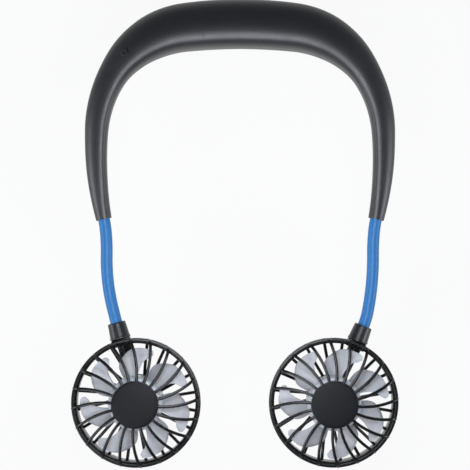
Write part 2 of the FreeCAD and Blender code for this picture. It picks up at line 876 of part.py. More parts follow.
def past_leg_boss(sizes):
    """Stations, with offsets to the outer edge, that take a lead round a leg's screw boss."""
    station = float(sizes.leg_screw_station)
    boss = float(sizes.screw_radius) + float(sizes.screw_boss_wall)
    aside = boss + float(sizes.band_lead_radius) + float(sizes.lead_clearance)
    ramp, top = 7 * boss, 2.6 * boss
    return [(station - ramp, 0.0), (station - top, aside), (station + top, aside), (station + ramp, 0.0)]


def crown_crossing(sizes, band, begin):
    """Points that take the right lead from the board over the cell to the right shoulder."""
    beside = float(sizes.cell_radius) - float(sizes.cell_inset)
    beside += float(sizes.band_lead_radius) + float(sizes.lead_clearance)
    past = float(sizes.cell_length) / 2 + float(sizes.lead_past_cell)
    over = band.place(0.0, beside)
    third = float(sizes.shoulder_length) / 3
    shoulder = float(sizes.crown_length)
    return [
        band.place(begin, beside),
        over + Vector(-past, 0, 0),
        over + Vector(past, 0, 0),
        band.place(shoulder + third, beside * 0.85),
        band.place(shoulder + 2 * third, beside * 0.4),
    ]


def round_lead(points, radius):
    """A round lead through some points, with its bends rounded."""
    ring = Part.Wire(Part.Circle(points[0], points[1] - points[0], radius).toShape())
    return rounded_wire(points).makePipeShell([ring], True, False)


def rounded_wire(points):
    """Straight runs between points, joined by the largest tangent arcs that fit."""
    edges = []
    here = points[0]
    for before, corner, after in zip(points, points[1:], points[2:]):
        into, out = corner - before, after - corner
        turn = into.getAngle(out)
        setback = 0.45 * min(into.Length, out.Length)
        begin = corner - into.normalize() * setback
        end = corner + out.normalize() * setback
        bisector = (end - corner) + (begin - corner)
        radius = setback / math.tan(turn / 2)
        middle = corner + bisector.normalize() * (radius / math.cos(turn / 2) - radius)
        edges += [Part.LineSegment(here, begin).toShape(), Part.Arc(begin, middle, end).toShape()]
        here = end
    edges.append(Part.LineSegment(here, points[-1]).toShape())
    return Part.Wire(edges)


class Arm:
    """One hose's route from the mouth of its leg, and where its joints and its fan head lie."""

    def __init__(self, sizes, band, name):
        self.sizes = sizes
        self.name = name
        self.side = SIDES[name]
        self.hose = sum(float(length) for length in self.run_lengths())
        hidden = float(sizes.hose_seat) + float(sizes.ferrule_length)
        mouth = band.place(self.side * band.half_length)
        heading = band.spine.heading(self.side * band.half_length)
        if self.side < 0:
            heading += 180
        way = Vector(math.cos(math.radians(heading)), math.sin(math.radians(heading)), 0)
        stretches = ("mouth", "upper", "lower", "collar")
        turns = [float(getattr(sizes, f"{name}_{stretch}_turn")) for stretch in stretches]
        runs = [(hidden, 0.0)]
        runs += [(float(length), -self.side * turn) for length, turn in zip(self.run_lengths(), turns)]
        runs.append((float(sizes.collar_length) + float(sizes.rim_radius), 0.0))
        self.route = Route(mouth - way * hidden, heading, runs, zero=hidden)

    def run_lengths(self):
        """The lengths of the visible runs, from the band to the collar."""
        sizes = self.sizes
        lower = getattr(sizes, f"{self.name}_lower_run")
        return [sizes.mouth_run, sizes.upper_run, lower, sizes.collar_run]

    def joints(self):
        """Distances along the hose at which its core bends."""
        first = float(self.sizes.end_joint_distance)
        step = (self.hose - 2 * first) / CORE_SEGMENTS
        return [first + step * index for index in range(CORE_SEGMENTS + 1)]

    def head_placement(self):
        """The fan head's frame: local Y runs up its stem and Z to the front."""
        sizes = self.sizes
        stem = float(sizes.collar_length) + float(sizes.flange_thickness) + float(sizes.saddle_height)
        way = self.route.tangent(self.hose)
        centre = self.route.point(self.hose) + way * (stem + float(sizes.rim_radius))
        centre.z = float(sizes.head_rear)
        angle = math.degrees(math.atan2(way.x, -way.y))
        return Placement(centre, Rotation(Vector(0, 0, 1), angle))

    def collar_placement(self):
        """The collar's frame: its axis runs from the hose's end to the head."""
        way = self.route.tangent(self.hose)
        return Placement(self.route.point(self.hose), Rotation(Vector(0, 0, 1), way))


def build_arm(doc, sizes, arm):
    """One hose: the sleeve, the gooseneck core in it, the ferrules at its ends and the motor's lead."""
    name = arm.name
    route = arm.route
    outer = float(sizes.hose_radius)
    inner = outer - float(sizes.hose_wall)
    seat, collar_seat = float(sizes.hose_seat), float(sizes.collar_seat)
    begin, end = -seat, arm.hose + collar_seat
    bore = route.rod(begin, end, inner)
    sleeve = route.rod(begin, end, outer).cut(bore)
    parts = [solid_feature(doc, f"{name}_hose_sleeve", sleeve)]
    joints = arm.joints()
    gap = float(sizes.ferrule_gap)
    top = -seat - float(sizes.ferrule_length)
    crimp = outer - gap / 2
    upper = core_segment(sizes, route, top, joints[0], socket=False)
    upper = upper.fuse(hollow_rod(sizes, route, top, begin - gap, crimp)).removeSplitter()
    parts.append(solid_feature(doc, f"{name}_upper_ferrule", upper))
    for index, (low, high) in enumerate(zip(joints, joints[1:]), start=1):
        segment = core_segment(sizes, route, low, high)
        parts.append(solid_feature(doc, f"{name}_gooseneck_core_{index}", segment))
    bottom = arm.hose + float(sizes.collar_length) - float(sizes.collar_floor)
    lower = core_segment(sizes, route, joints[-1], bottom, ball=False)
    lower = lower.fuse(hollow_rod(sizes, route, end + gap, bottom, crimp)).removeSplitter()
    parts.append(solid_feature(doc, f"{name}_lower_ferrule", lower))
    stem = float(sizes.collar_length) + float(sizes.flange_thickness) + float(sizes.saddle_height)
    lead_end = arm.hose + stem + float(sizes.rim_radius) - float(sizes.saddle_root)
    lead = route.rod(top, lead_end, float(sizes.arm_lead_radius))
    parts.append(solid_feature(doc, f"{name}_arm_lead", lead))
    return parts


def hollow_rod(sizes, route, begin, end, radius):
    """A stretch of round rod with the lead's bore through it."""
    return route.rod(begin, end, radius).cut(route.rod(begin, end, float(sizes.core_bore)))


def core_segment(sizes, route, begin, end, socket=True, ball=True):
    """A stretch of the gooseneck core, with a socket where it begins and a ball where it ends."""
    radius = float(sizes.hose_radius) - float(sizes.hose_wall) - float(sizes.core_clearance)
    ball_radius = float(sizes.ball_radius)
    stop = end - float(sizes.ball_setback) if ball else end
    segment = route.rod(begin, stop, radius)
    reach = end
    if ball:
        neck = route.rod(stop - OVERCUT, end, float(sizes.ball_neck_radius))
        segment = segment.fuse([neck, Part.makeSphere(ball_radius, route.point(end))])
        reach = end + ball_radius + OVERCUT
    if socket:
        socket_radius = ball_radius + float(sizes.ball_clearance)
        segment = segment.cut(Part.makeSphere(socket_radius, route.point(begin)))
    segment = segment.cut(route.rod(begin, reach, float(sizes.core_bore)))
    return segment.removeSplitter()


def build_collar(doc, sizes, arm):
    """The tapered collar that grips the hose's end, with a flange on the fan head's saddle."""
    base = sizes.collar_length
    bore = sizes.hose_radius + sizes.hose_clearance
    corners = [
        (bore, 0.0),
        (sizes.collar_top_radius, 0.0),
        (sizes.collar_base_radius, base),
        (sizes.flange_radius, base),
        (sizes.flange_radius, base + sizes.flange_thickness),
        (sizes.lead_hole_radius, base + sizes.flange_thickness),
        (sizes.lead_hole_radius, base - sizes.collar_floor),
        (bore, base - sizes.collar_floor),
    ]
    collar = turned_body(doc, f"{arm.name}_collar", corners)
    collar.Placement = arm.collar_placement()
    return [collar]


def circles_meet(first_radius, centre, radius):
    """Where a circle round the origin meets another circle, on the +X side."""
    distance = centre.Length
    along = (first_radius ** 2 - radius ** 2 + distance ** 2) / (2 * distance)
    across = math.sqrt(first_radius ** 2 - along ** 2)
    way = centre / distance
    meetings = [way * along + Vector(-way.y, way.x, 0) * (across * sign) for sign in (-1, 1)]
    return max(meetings, key=lambda point: point.x)


def draw_rib_gap(sketch, inner, outer, width, bow_radius, bow_centre, count):
    """Draws the gap between two bowed ribs: two arcs round the fan's axis and two along the ribs."""
    step = as_size(360) / count
    centres = [
        (as_size(0.0), bow_centre, bow_radius - width / 2),
        (-(bow_centre * sine(step)), bow_centre * cosine(step), bow_radius + width / 2),
    ]
    upward = Vector(0, 0, 1)
    corners = []
    for across, up, radius in centres:
        centre = Vector(float(across), float(up), 0)
        near = circles_meet(float(inner), centre, float(radius))
        far = circles_meet(float(outer), centre, float(radius))
        begin, end = (math.atan2(point.y - centre.y, point.x - centre.x) for point in (near, far))
        circle = Part.Circle(centre, upward, float(radius))
        arc = sketch.addGeometry(Part.ArcOfCircle(circle, begin, end), False)
        tie_point(sketch, arc, 3, across, up)
        bind(sketch, Sketcher.Constraint("Radius", arc, float(radius)), radius)
        corners.append((arc, near, far))
    (low_side, low_near, low_far), (high_side, high_near, high_far) = corners
    for radius, low, high, end in ((inner, low_near, high_near, 1), (outer, low_far, high_far, 2)):
        circle = Part.Circle(Vector(), upward, float(radius))
        arc = Part.ArcOfCircle(circle, math.atan2(low.y, low.x), math.atan2(high.y, high.x))
        edge = sketch.addGeometry(arc, False)
        sketch.addConstraint(Sketcher.Constraint("Coincident", edge, 3, -1, 1))
        sketch.addConstraint(Sketcher.Constraint("Coincident", edge, 1, low_side, end))
        sketch.addConstraint(Sketcher.Constraint("Coincident", edge, 2, high_side, end))
        bind(sketch, Sketcher.Constraint("Radius", edge, float(radius)), radius)


def build_front_grille(doc, sizes, name, head):
    """The front grille, with bowed ribs that roll over the rim, and the plain cap on its hub."""
    hub_top = sizes.head_front - sizes.cap_thickness
    shoulder_height = sizes.head_front - sizes.shoulder_drop
    shoulder = sizes.rim_radius - sizes.shoulder_inset
    inner = sizes.rim_radius - sizes.rim_wall
    peg_bore = sizes.cap_peg_radius + sizes.cap_clearance
    thick = sizes.grille_thickness
    corners = [
        (peg_bore, hub_top - thick),
        (peg_bore, hub_top),
        (sizes.hub_radius, hub_top, sizes.dome_radius),
        (shoulder, shoulder_height, sizes.shoulder_radius),
        (sizes.rim_radius, shoulder_height - sizes.shoulder_inset),
        (sizes.rim_radius, 0.0),
        (inner, 0.0),
        (inner, shoulder_height - sizes.shoulder_inset - thick / 2),
        (shoulder - thick / 2, shoulder_height - thick),
        (sizes.hub_radius, hub_top - thick),
    ]
    body = turned_body(doc, f"{name}_front_grille", corners)
    gap = cut_down(
        body,
        f"{name}_front_gap",
        lambda sketch: draw_rib_gap(
            sketch,
            sizes.hub_radius,
            sizes.rim_radius + OVERCUT,
            sizes.rib_width,
            sizes.rib_bow_radius,
            sizes.rib_bow_centre,
            sizes.rib_count,
        ),
        sizes.head_front + OVERCUT,
        sizes.head_front + OVERCUT - sizes.front_rim_height,
    )
    repeat_round(body, gap, f"{name}_front_ribs", sizes.rib_count)
    body.Placement = head
    cap_corners = [
        (0.0, hub_top - sizes.cap_peg_length),
        (sizes.cap_peg_radius, hub_top - sizes.cap_peg_length),
        (sizes.cap_peg_radius, hub_top),
        (sizes.cap_radius, hub_top),
        (sizes.cap_radius, hub_top + sizes.cap_edge),
        (0.0, sizes.head_front),
    ]
    cap = turned_body(doc, f"{name}_hub_cap", cap_corners)
    cap.Placement = head
    return [body, cap]


def build_rear_grille(doc, sizes, name, head, stem_height):
    """The rear grille with its motor cup, wire strut and the saddle that the collar stands on.

    It is drawn with its outside upwards and turned over about the stem's axis.
    """
    rear = sizes.head_rear
    rim = sizes.rim_radius - sizes.rear_rim_step
    inner = rim - sizes.rear_rim_wall
    shoulder = rim - sizes.shoulder_inset
    shoulder_height = rear - sizes.shoulder_drop
    thick = sizes.grille_thickness
    lip = sizes.rim_radius - sizes.rim_wall - sizes.lip_clearance
    floor = rear - thick
    cup = sizes.motor_radius + sizes.motor_clearance
    cup_outer = cup + sizes.motor_cup_wall
    corners = [
        (0.0, floor),
        (0.0, rear),
        (sizes.rear_hub_radius, rear, sizes.dome_radius),
        (shoulder, shoulder_height, sizes.shoulder_radius),
        (rim, shoulder_height - sizes.shoulder_inset),
        (rim, 0.0),
        (lip, 0.0),
        (lip, -sizes.lip_height),
        (inner, -sizes.lip_height),
        (inner, shoulder_height - sizes.shoulder_inset - thick / 2),
        (shoulder - thick / 2, shoulder_height - thick),
        (sizes.rear_hub_radius, floor),
        (cup_outer, floor),
        (cup_outer, floor - sizes.motor_cup_height),
        (cup, floor - sizes.motor_cup_height),
        (cup, floor),
    ]
    body = turned_body(doc, f"{name}_rear_grille", corners)
    gap = cut_down(
        body,
        f"{name}_rear_gap",
        lambda sketch: draw_rib_gap(
            sketch,
            sizes.rear_hub_radius,
            sizes.rim_radius + OVERCUT,
            sizes.rear_rib_width,
            sizes.rear_rib_bow_radius,
            sizes.rear_rib_bow_centre,
            sizes.rib_count,
        ),
        rear + OVERCUT,
        rear + OVERCUT - sizes.rear_rim_height,
    )
    repeat_round(body, gap, f"{name}_rear_ribs", sizes.rib_count)
    strut = [
        (cup_outer - sizes.motor_cup_wall / 2, rear - thick / 4),
        (shoulder, shoulder_height - thick / 4),
        (rim - sizes.rear_rim_wall / 2, sizes.rear_rim_height),
        (inner, sizes.rear_rim_height),
        (cup_outer - sizes.motor_cup_wall / 2, rear - thick / 4 - sizes.strut_thickness),
    ]
    add_pad(body, f"{name}_strut", "YZ_Plane", strut, 0.0, sizes.strut_width, symmetric=True)
    top = sizes.rim_radius + sizes.saddle_height
    saddle = [
        (-sizes.saddle_width / 2, sizes.saddle_root),
        (sizes.saddle_width / 2, sizes.saddle_root),
        (sizes.saddle_width / 2, top),
        (-sizes.saddle_width / 2, top),
    ]
    add_pad(body, f"{name}_saddle", "XY_Plane", saddle, 0.0, sizes.saddle_depth)
    cut_down(
        body,
        f"{name}_lead_hole",
        lambda sketch: draw_circles(sketch, [(0.0, stem_height)], sizes.lead_hole_radius),
        -(top + OVERCUT),
        top + OVERCUT - sizes.saddle_root + OVERCUT,
        role="XZ_Plane",
        reverse=True,
    )
    spread = [(-sizes.motor_screw_spread, 0.0), (sizes.motor_screw_spread, 0.0)]
    cut_down(
        body,
        f"{name}_screw_holes",
        lambda sketch: draw_circles(sketch, spread, sizes.screw_radius + sizes.screw_clearance),
        rear + OVERCUT,
        thick + OVERCUT * 2,
    )
    cut_down(
        body,
        f"{name}_screw_sinks",
        lambda sketch: draw_circles(sketch, spread, sizes.screw_head_radius + sizes.screw_clearance),
        rear + OVERCUT,
        sizes.motor_screw_head_height + sizes.screw_clearance + OVERCUT,
    )
    body.Placement = head.multiply(Placement(Vector(), Rotation(Vector(0, 1, 0), 180)))
    return [body]


def build_motor(doc, sizes, name, head):
    """The motor: can, end cap, bushes, magnets and brushes stand still; the rest turns with the shaft."""
    bottom = sizes.grille_thickness - sizes.head_rear
    cap_top = bottom + sizes.end_cap_thickness
    spigot_top = cap_top + sizes.end_cap_spigot
    front = sizes.motor_front
    inside = sizes.motor_radius - sizes.motor_wall
    can = turned_body(
        doc,
        f"{name}_motor_can",
        [
            (sizes.bush_radius, front - sizes.motor_wall),
            (sizes.bush_radius, front),
            (sizes.motor_radius, front),
            (sizes.motor_radius, cap_top),
            (inside, cap_top),
            (inside, front - sizes.motor_wall),
        ],
    )
    spigot = inside - sizes.motor_clearance
    end_cap = turned_body(
        doc,
        f"{name}_motor_end_cap",
        [
            (sizes.bush_radius, bottom),
            (sizes.motor_radius, bottom),
            (sizes.motor_radius, cap_top),
            (spigot, cap_top),
            (spigot, spigot_top),
            (sizes.bush_radius, spigot_top),
        ],
    )
    spread = [(-sizes.motor_screw_spread, 0.0), (sizes.motor_screw_spread, 0.0)]
    cut_down(
        end_cap,
        f"{name}_end_cap_holes",
        lambda sketch: draw_circles(sketch, spread, sizes.screw_radius + sizes.press_clearance),
        spigot_top + OVERCUT,
        sizes.end_cap_thickness + sizes.end_cap_spigot + OVERCUT * 2,
    )
    bush_bore = sizes.shaft_radius + sizes.shaft_clearance
    bush_bottoms = (front - sizes.motor_wall - sizes.bush_length / 2, bottom + sizes.end_cap_spigot / 2)
    bushes = []
    for index, low in enumerate(bush_bottoms):
        corners = tube_corners(bush_bore, sizes.bush_radius, low, low + sizes.bush_length)
        bushes.append(turned_body(doc, f"{name}_bush_{index}", corners))
    magnet_bottom = front - sizes.motor_wall - sizes.magnet_length
    magnets = []
    for index, turn in enumerate((0, 180)):
        corners = tube_corners(
            inside - sizes.magnet_thickness, inside, magnet_bottom, magnet_bottom + sizes.magnet_length
        )
        magnet = turned_body(doc, f"{name}_magnet_{index}", corners, angle=sizes.magnet_angle)
        magnet.Placement = head.multiply(Placement(Vector(), Rotation(Vector(0, 0, 1), turn)))
        magnets.append(magnet)
    core_bore = sizes.shaft_radius + sizes.press_clearance
    armature_radius = inside - sizes.magnet_thickness - sizes.armature_gap
    middle = magnet_bottom + sizes.magnet_length / 2
    armature_bottom = middle - sizes.armature_length / 2
    armature = turned_body(
        doc,
        f"{name}_armature",
        tube_corners(core_bore, armature_radius, armature_bottom, armature_bottom + sizes.armature_length),
    )
    commutator_bottom = armature_bottom - sizes.commutator_length
    commutator = turned_body(
        doc,
        f"{name}_commutator",
        tube_corners(core_bore, sizes.commutator_radius, commutator_bottom, armature_bottom),
    )
    shaft_top = sizes.impeller_hub_front - sizes.press_clearance
    shaft_corners = rod_corners(sizes.shaft_radius, bottom + sizes.end_cap_spigot / 2, shaft_top)
    shaft = turned_body(doc, f"{name}_motor_shaft", shaft_corners)
    brush_centre = sizes.commutator_radius + sizes.shaft_clearance + sizes.brush_thickness / 2
    brushes = []
    for index, turn in enumerate((0, 180)):
        corners = rectangle(sizes.brush_thickness, sizes.brush_width, brush_centre)
        brush = padded_body(doc, f"{name}_brush_{index}", corners, spigot_top, sizes.brush_length)
        brush.Placement = head.multiply(Placement(Vector(), Rotation(Vector(0, 0, 1), turn)))
        brushes.append(brush)
    screws = []
    seat = sizes.motor_screw_head_height - sizes.head_rear
    for index, sign in enumerate((-1, 1)):
        screw = turned_body(
            doc,
            f"{name}_motor_screw_{index}",
            [
                (0.0, -sizes.head_rear + sizes.screw_clearance),
                (sizes.screw_head_radius, -sizes.head_rear + sizes.screw_clearance),
                (sizes.screw_head_radius, seat + sizes.screw_clearance),
                (sizes.screw_radius, seat + sizes.screw_clearance),
                (sizes.screw_radius, seat + sizes.motor_screw_length),
                (0.0, seat + sizes.motor_screw_length),
            ],
        )
        place = Vector(sign * float(sizes.motor_screw_spread), 0, 0)
        screw.Placement = head.multiply(Placement(place, Rotation()))
        screws.append(screw)
    for body in [can, end_cap, armature, commutator, shaft] + bushes:
        body.Placement = head
    return [
        can,
        end_cap,
        group(doc, f"{name}_motor_bushes", bushes),
        group(doc, f"{name}_motor_magnets", magnets),
        group(doc, f"{name}_motor_brushes", brushes),
        group(doc, f"{name}_motor_screws", screws),
        armature,
        commutator,
        shaft,
    ]


def blade_section(body, name, plane, chord, pitch, sweep, sizes):
    """A blade's section on a plane across its span: a thin slanted bar."""
    sketch = add_sketch(body, name, "YZ_Plane", plane)
    along_y, along_z = chord / 2 * cosine(pitch), chord / 2 * sine(pitch)
    thick_y, thick_z = sizes.blade_thickness / 2 * sine(pitch), sizes.blade_thickness / 2 * cosine(pitch)
    height = sizes.blade_centre_height
    corners = [
        (sweep + along_y + thick_y, height - along_z + thick_z),
        (sweep + along_y - thick_y, height - along_z - thick_z),
        (sweep - along_y - thick_y, height + along_z - thick_z),
        (sweep - along_y + thick_y, height + along_z + thick_z),
    ]
    draw_outline(sketch, corners)
    return sketch


def build_impeller(doc, sizes, name, head):
    """The impeller: a cup that covers the motor, and twisted blades trimmed to the tip circle."""
    front, rear = sizes.impeller_hub_front, -sizes.impeller_hub_rear
    outer = sizes.impeller_hub_radius
    inner = outer - sizes.impeller_hub_wall
    plate = front - sizes.impeller_hub_wall
    bore = sizes.shaft_radius + sizes.press_clearance
    chamfer = sizes.impeller_hub_chamfer
    corners = [
        (bore, plate - sizes.impeller_boss_length),
        (sizes.impeller_boss_radius, plate - sizes.impeller_boss_length),
        (sizes.impeller_boss_radius, plate),
        (inner, plate),
        (inner, rear),
        (outer, rear),
        (outer, front - chamfer),
        (outer - chamfer, front),
        (bore, front),
    ]
    body = turned_body(doc, f"{name}_impeller", corners)
    root_plane = inner * cosine(sizes.blade_root_pitch)
    root = blade_section(
        body,
        f"{name}_blade_root",
        root_plane,
        sizes.blade_root_chord,
        sizes.blade_root_pitch,
        sizes.blade_root_sweep,
        sizes,
    )
    tip = blade_section(
        body,
        f"{name}_blade_tip",
        sizes.impeller_radius,
        sizes.blade_tip_chord,
        sizes.blade_tip_pitch,
        as_size(0.0),
        sizes,
    )
    blade = body.newObject("PartDesign::AdditiveLoft", f"{name}_blade")
    blade.Profile = root
    blade.Sections = [tip]
    doc.recompute()
    repeat_round(body, blade, f"{name}_blades", sizes.blade_count)
    reach = sizes.impeller_radius + sizes.blade_tip_chord / 2
    trim = add_sketch(body, f"{name}_trim_profile", "XZ_Plane")
    draw_outline(trim, tube_corners(sizes.impeller_radius, reach, -reach, reach))
    draw_outline(
        trim,
        tube_corners(sizes.impeller_boss_radius, inner, -reach, plate),
    )
    groove = body.newObject("PartDesign::Groove", f"{name}_trim")
    groove.Profile = trim
    groove.ReferenceAxis = (trim, ["V_Axis"])
    groove.Angle = 360
    doc.recompute()
    phase = Placement(Vector(), Rotation(Vector(0, 0, 1), -float(getattr(sizes, f"{name}_blade_phase"))))
    body.Placement = head.multiply(phase)
    return [body]


def build_head_lead(doc, sizes, name, head, stem_height):
    """The lead's last stretch, along the strut from the saddle to the motor cup."""
    radius = float(sizes.arm_lead_radius)
    cup = float(sizes.motor_radius) + float(sizes.motor_clearance) + float(sizes.motor_cup_wall)
    rim = float(sizes.rim_radius) - float(sizes.rear_rim_step) - float(sizes.rear_rim_wall)
    begin = Vector(0, float(sizes.saddle_root), -float(stem_height))
    strut_top = float(sizes.head_rear) - float(sizes.grille_thickness) / 4
    low = strut_top - float(sizes.strut_thickness) - 2 * radius
    end = Vector(0, cup + radius / 2, -low)
    knee = Vector(0, begin.y - 1.5 * radius, begin.z)
    slope = (low - float(sizes.rear_rim_height) + 2 * radius) / (rim - cup)
    bend = Vector(0, knee.y - 4 * radius, -(low - slope * (knee.y - 4 * radius - cup)))
    wire = rounded_wire([begin, knee, bend, end])
    ring = Part.Wire(Part.Circle(begin, Vector(0, 1, 0), radius).toShape())
    lead = wire.makePipeShell([ring], True, False)
    return [solid_feature(doc, f"{name}_head_lead", lead, head)]


def build_head(doc, sizes, band, arm):
    """One fan head with its casing, motor and impeller."""
    head = arm.head_placement()
    stem_height = sizes.head_rear - (sizes.crown_depth / 2 - sizes.rest_flat_cut)
    parts = build_front_grille(doc, sizes, arm.name, head)
    parts += build_rear_grille(doc, sizes, arm.name, head, stem_height)
    parts += build_motor(doc, sizes, arm.name, head)
    parts += build_impeller(doc, sizes, arm.name, head)
    parts += build_head_lead(doc, sizes, arm.name, head, stem_height)
    return parts


def check_and_write(doc, parts):
    """Stops at a failed object or a bad shape, then writes each sub-part to its own file."""
    doc.recompute()
    for item in doc.Objects:
        if any(flag in ("Invalid", "Error") for flag in item.State):
            raise RuntimeError(f"{item.Label} did not build: {item.State}")
    for part in parts:
        if part.Shape.isNull() or not part.Shape.isValid():
            raise RuntimeError(f"{part.Label} has a bad shape")
    os.makedirs("parts", exist_ok=True)
    for part in parts:
        part.Shape.exportStep(f"parts/{part.Label}.step")


def main():
    """Builds the fan from the band outwards and writes its pieces."""
    doc = FreeCAD.newDocument("neck_fan")
    sizes = make_sheet(doc)
    band = Band(sizes)
    parts = build_band_shells(doc, sizes, band)
    parts += build_band_screws(doc, sizes, band)
    parts += build_cell(doc, sizes, band)
    parts += build_controls(doc, sizes, band)
    parts += build_button(doc, sizes, band)
    parts += build_band_leads(doc, sizes, band)
    for name in SIDES:
        arm = Arm(sizes, band, name)
        parts += build_arm(doc, sizes, arm)
        parts += build_collar(doc, sizes, arm)
        parts += build_head(doc, sizes, band, arm)
    check_and_write(doc, parts)


if __name__ == "__main__":
    main()
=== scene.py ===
"""Dresses the electric neck fan: its band, hoses and fan heads, on the frame that the solids give.

Sizes are in millimetres and angles in degrees, unless a docstring says otherwise. Meshes are in metres.
"""
import json
import logging
import math
from dataclasses import dataclass
from enum import Enum
from typing import Any, Optional, Sequence, Union

import bmesh
import bpy
from mathutils import Matrix, Vector


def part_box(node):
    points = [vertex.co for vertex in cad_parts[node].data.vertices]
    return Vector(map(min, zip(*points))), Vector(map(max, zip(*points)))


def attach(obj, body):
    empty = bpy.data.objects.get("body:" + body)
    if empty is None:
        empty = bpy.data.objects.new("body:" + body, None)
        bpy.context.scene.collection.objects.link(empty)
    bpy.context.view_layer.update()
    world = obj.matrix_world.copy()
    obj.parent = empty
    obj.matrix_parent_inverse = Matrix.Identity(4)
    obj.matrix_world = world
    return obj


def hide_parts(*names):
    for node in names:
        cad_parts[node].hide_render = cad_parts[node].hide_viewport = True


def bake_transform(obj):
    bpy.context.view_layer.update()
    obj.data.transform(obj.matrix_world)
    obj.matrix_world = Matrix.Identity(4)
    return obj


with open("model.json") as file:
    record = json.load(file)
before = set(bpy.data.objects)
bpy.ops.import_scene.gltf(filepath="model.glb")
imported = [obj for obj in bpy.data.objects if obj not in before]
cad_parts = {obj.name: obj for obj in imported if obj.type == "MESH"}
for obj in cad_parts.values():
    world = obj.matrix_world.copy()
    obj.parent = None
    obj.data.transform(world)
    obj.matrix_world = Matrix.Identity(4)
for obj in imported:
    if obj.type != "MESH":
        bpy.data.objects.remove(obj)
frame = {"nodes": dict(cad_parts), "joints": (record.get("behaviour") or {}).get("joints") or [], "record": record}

LOG = logging.getLogger("neck_fan")
MM = 0.001
# Points closer than these are one, in metres: in a fresh mesh, and in a mesh that was cut.
WELD = 1e-7
SLIVER = 2e-6
# What is smaller than this counts as nothing when a course is followed.
TINY = 1e-9
# Edges that turn by more than this stay sharp.
SHARP = 38.0
# The middle of a noise's range.
EVEN = 0.5
Colour = tuple[float, float, float]
Paint = tuple[float, float, float, float]
Outline = Sequence[tuple[float, float]]
Stops = Sequence[tuple[float, float]]
Operand = Union["Value", float]
BLACK: Paint = (0.0, 0.0, 0.0, 1.0)
WHITE: Paint = (1.0, 1.0, 1.0, 1.0)


class Side(Enum):
    """The two arms, as seen in the photograph."""

    LEFT = "left"
    RIGHT = "right"

    @property
    def sign(self) -> int:
        """-1 on the left and 1 on the right."""
        return -1 if self is Side.LEFT else 1


class Face(Enum):
    """The two faces of the band."""

    FRONT = 1
    REAR = -1


class Value:
    """A shader socket that can be used in arithmetic."""

    def __init__(self, board: "NodeBoard", socket: Any) -> None:
        """Wraps an output socket of a board's node."""
        self.board = board
        self.socket = socket

    def join(self, operation: str, other: Operand, flipped: bool = False) -> "Value":
        """Adds one Math node.

        Args:
            operation: the Math node's operation.
            other: the second value.
            flipped: whether the other value comes first.

        Returns:
            The node's result.
        """
        first, second = (other, self) if flipped else (self, other)
        return self.board.add("ShaderNodeMath", {"operation": operation}, {0: first, 1: second})

    def __add__(self, other: Operand) -> "Value":
        """Adds."""
        return self.join("ADD", other)

    __radd__ = __add__

    def __mul__(self, other: Operand) -> "Value":
        """Multiplies."""
        return self.join("MULTIPLY", other)

    __rmul__ = __mul__

    def __sub__(self, other: Operand) -> "Value":
        """Takes away."""
        return self.join("SUBTRACT", other)

    def __rsub__(self, other: Operand) -> "Value":
        """Is taken away from a number."""
        return self.join("SUBTRACT", other, flipped=True)

    def at_least(self, other: Operand) -> "Value":
        """The greater of two values."""
        return self.join("MAXIMUM", other)


class NodeBoard:
    """A node tree with one method that adds any node."""

    def __init__(self, tree: Any) -> None:
        """Clears the tree."""
        self.tree = tree
        tree.nodes.clear()

    def add(
        self,
        kind: str,
        settings: Optional[dict[str, Any]] = None,
        inputs: Optional[dict[Any, Any]] = None,
        output: Union[int, str] = 0,
    ) -> Value:
        """Adds a node.

        Args:
            kind: the node's type.
            settings: its properties; "stops" holds a ramp's positions and grey levels.
            inputs: values or links by socket name or number.
            output: the socket to return.

        Returns:
            The chosen output, or the node's first one.
        """
        node = self.tree.nodes.new(kind)
        for name, value in (settings or {}).items():
            if name == "stops":
                self.set_stops(node.color_ramp, value)
            else:
                setattr(node, name, value)
        for name, value in (inputs or {}).items():
            if isinstance(value, Value):
                self.tree.links.new(value.socket, node.inputs[name])
            else:
                node.inputs[name].default_value = value
        return Value(self, node.outputs[output] if node.outputs else None)

    @staticmethod
    def set_stops(ramp: Any, stops: Stops) -> None:
        """Sets the two stops of a fresh ramp.

        Args:
            ramp: the ramp.
            stops: the position and grey level of each stop.
        """
        for element, (position, level) in zip(ramp.elements, stops):
            element.position = position
            element.color = shade((level, level, level), 1.0)

    def noise(self, where: Value, scale: float, detail: float = 2.0) -> Value:
        """Soft noise, as a number from 0 to 1."""
        return self.add("ShaderNodeTexNoise", {}, {"Vector": where, "Scale": scale, "Detail": detail})

    def drawn(self, where: Value, scale: Colour, detail: float) -> Value:
        """Soft noise that is drawn out, with a scale for each axis."""
        stretched = self.add("ShaderNodeMapping", {}, {"Vector": where, "Scale": scale})
        return self.noise(stretched, 1.0, detail)

    def ramp(self, value: Value, stops: Stops) -> Value:
        """A value passed through a ramp of grey levels."""
        return self.add("ShaderNodeValToRGB", {"stops": stops}, {"Fac": value})

    def mix(self, factor: Value, first: Any, second: Any) -> Value:
        """A blend of two colours, by the numbers of a Mix node's colour sockets."""
        inputs = {0: factor, 6: first, 7: second}
        return self.add("ShaderNodeMix", {"data_type": "RGBA"}, inputs, output=2)


def shade(colour: Colour, share: float) -> Paint:
    """A colour made lighter or darker by a share, with full alpha."""
    return (colour[0] * share, colour[1] * share, colour[2] * share, 1.0)


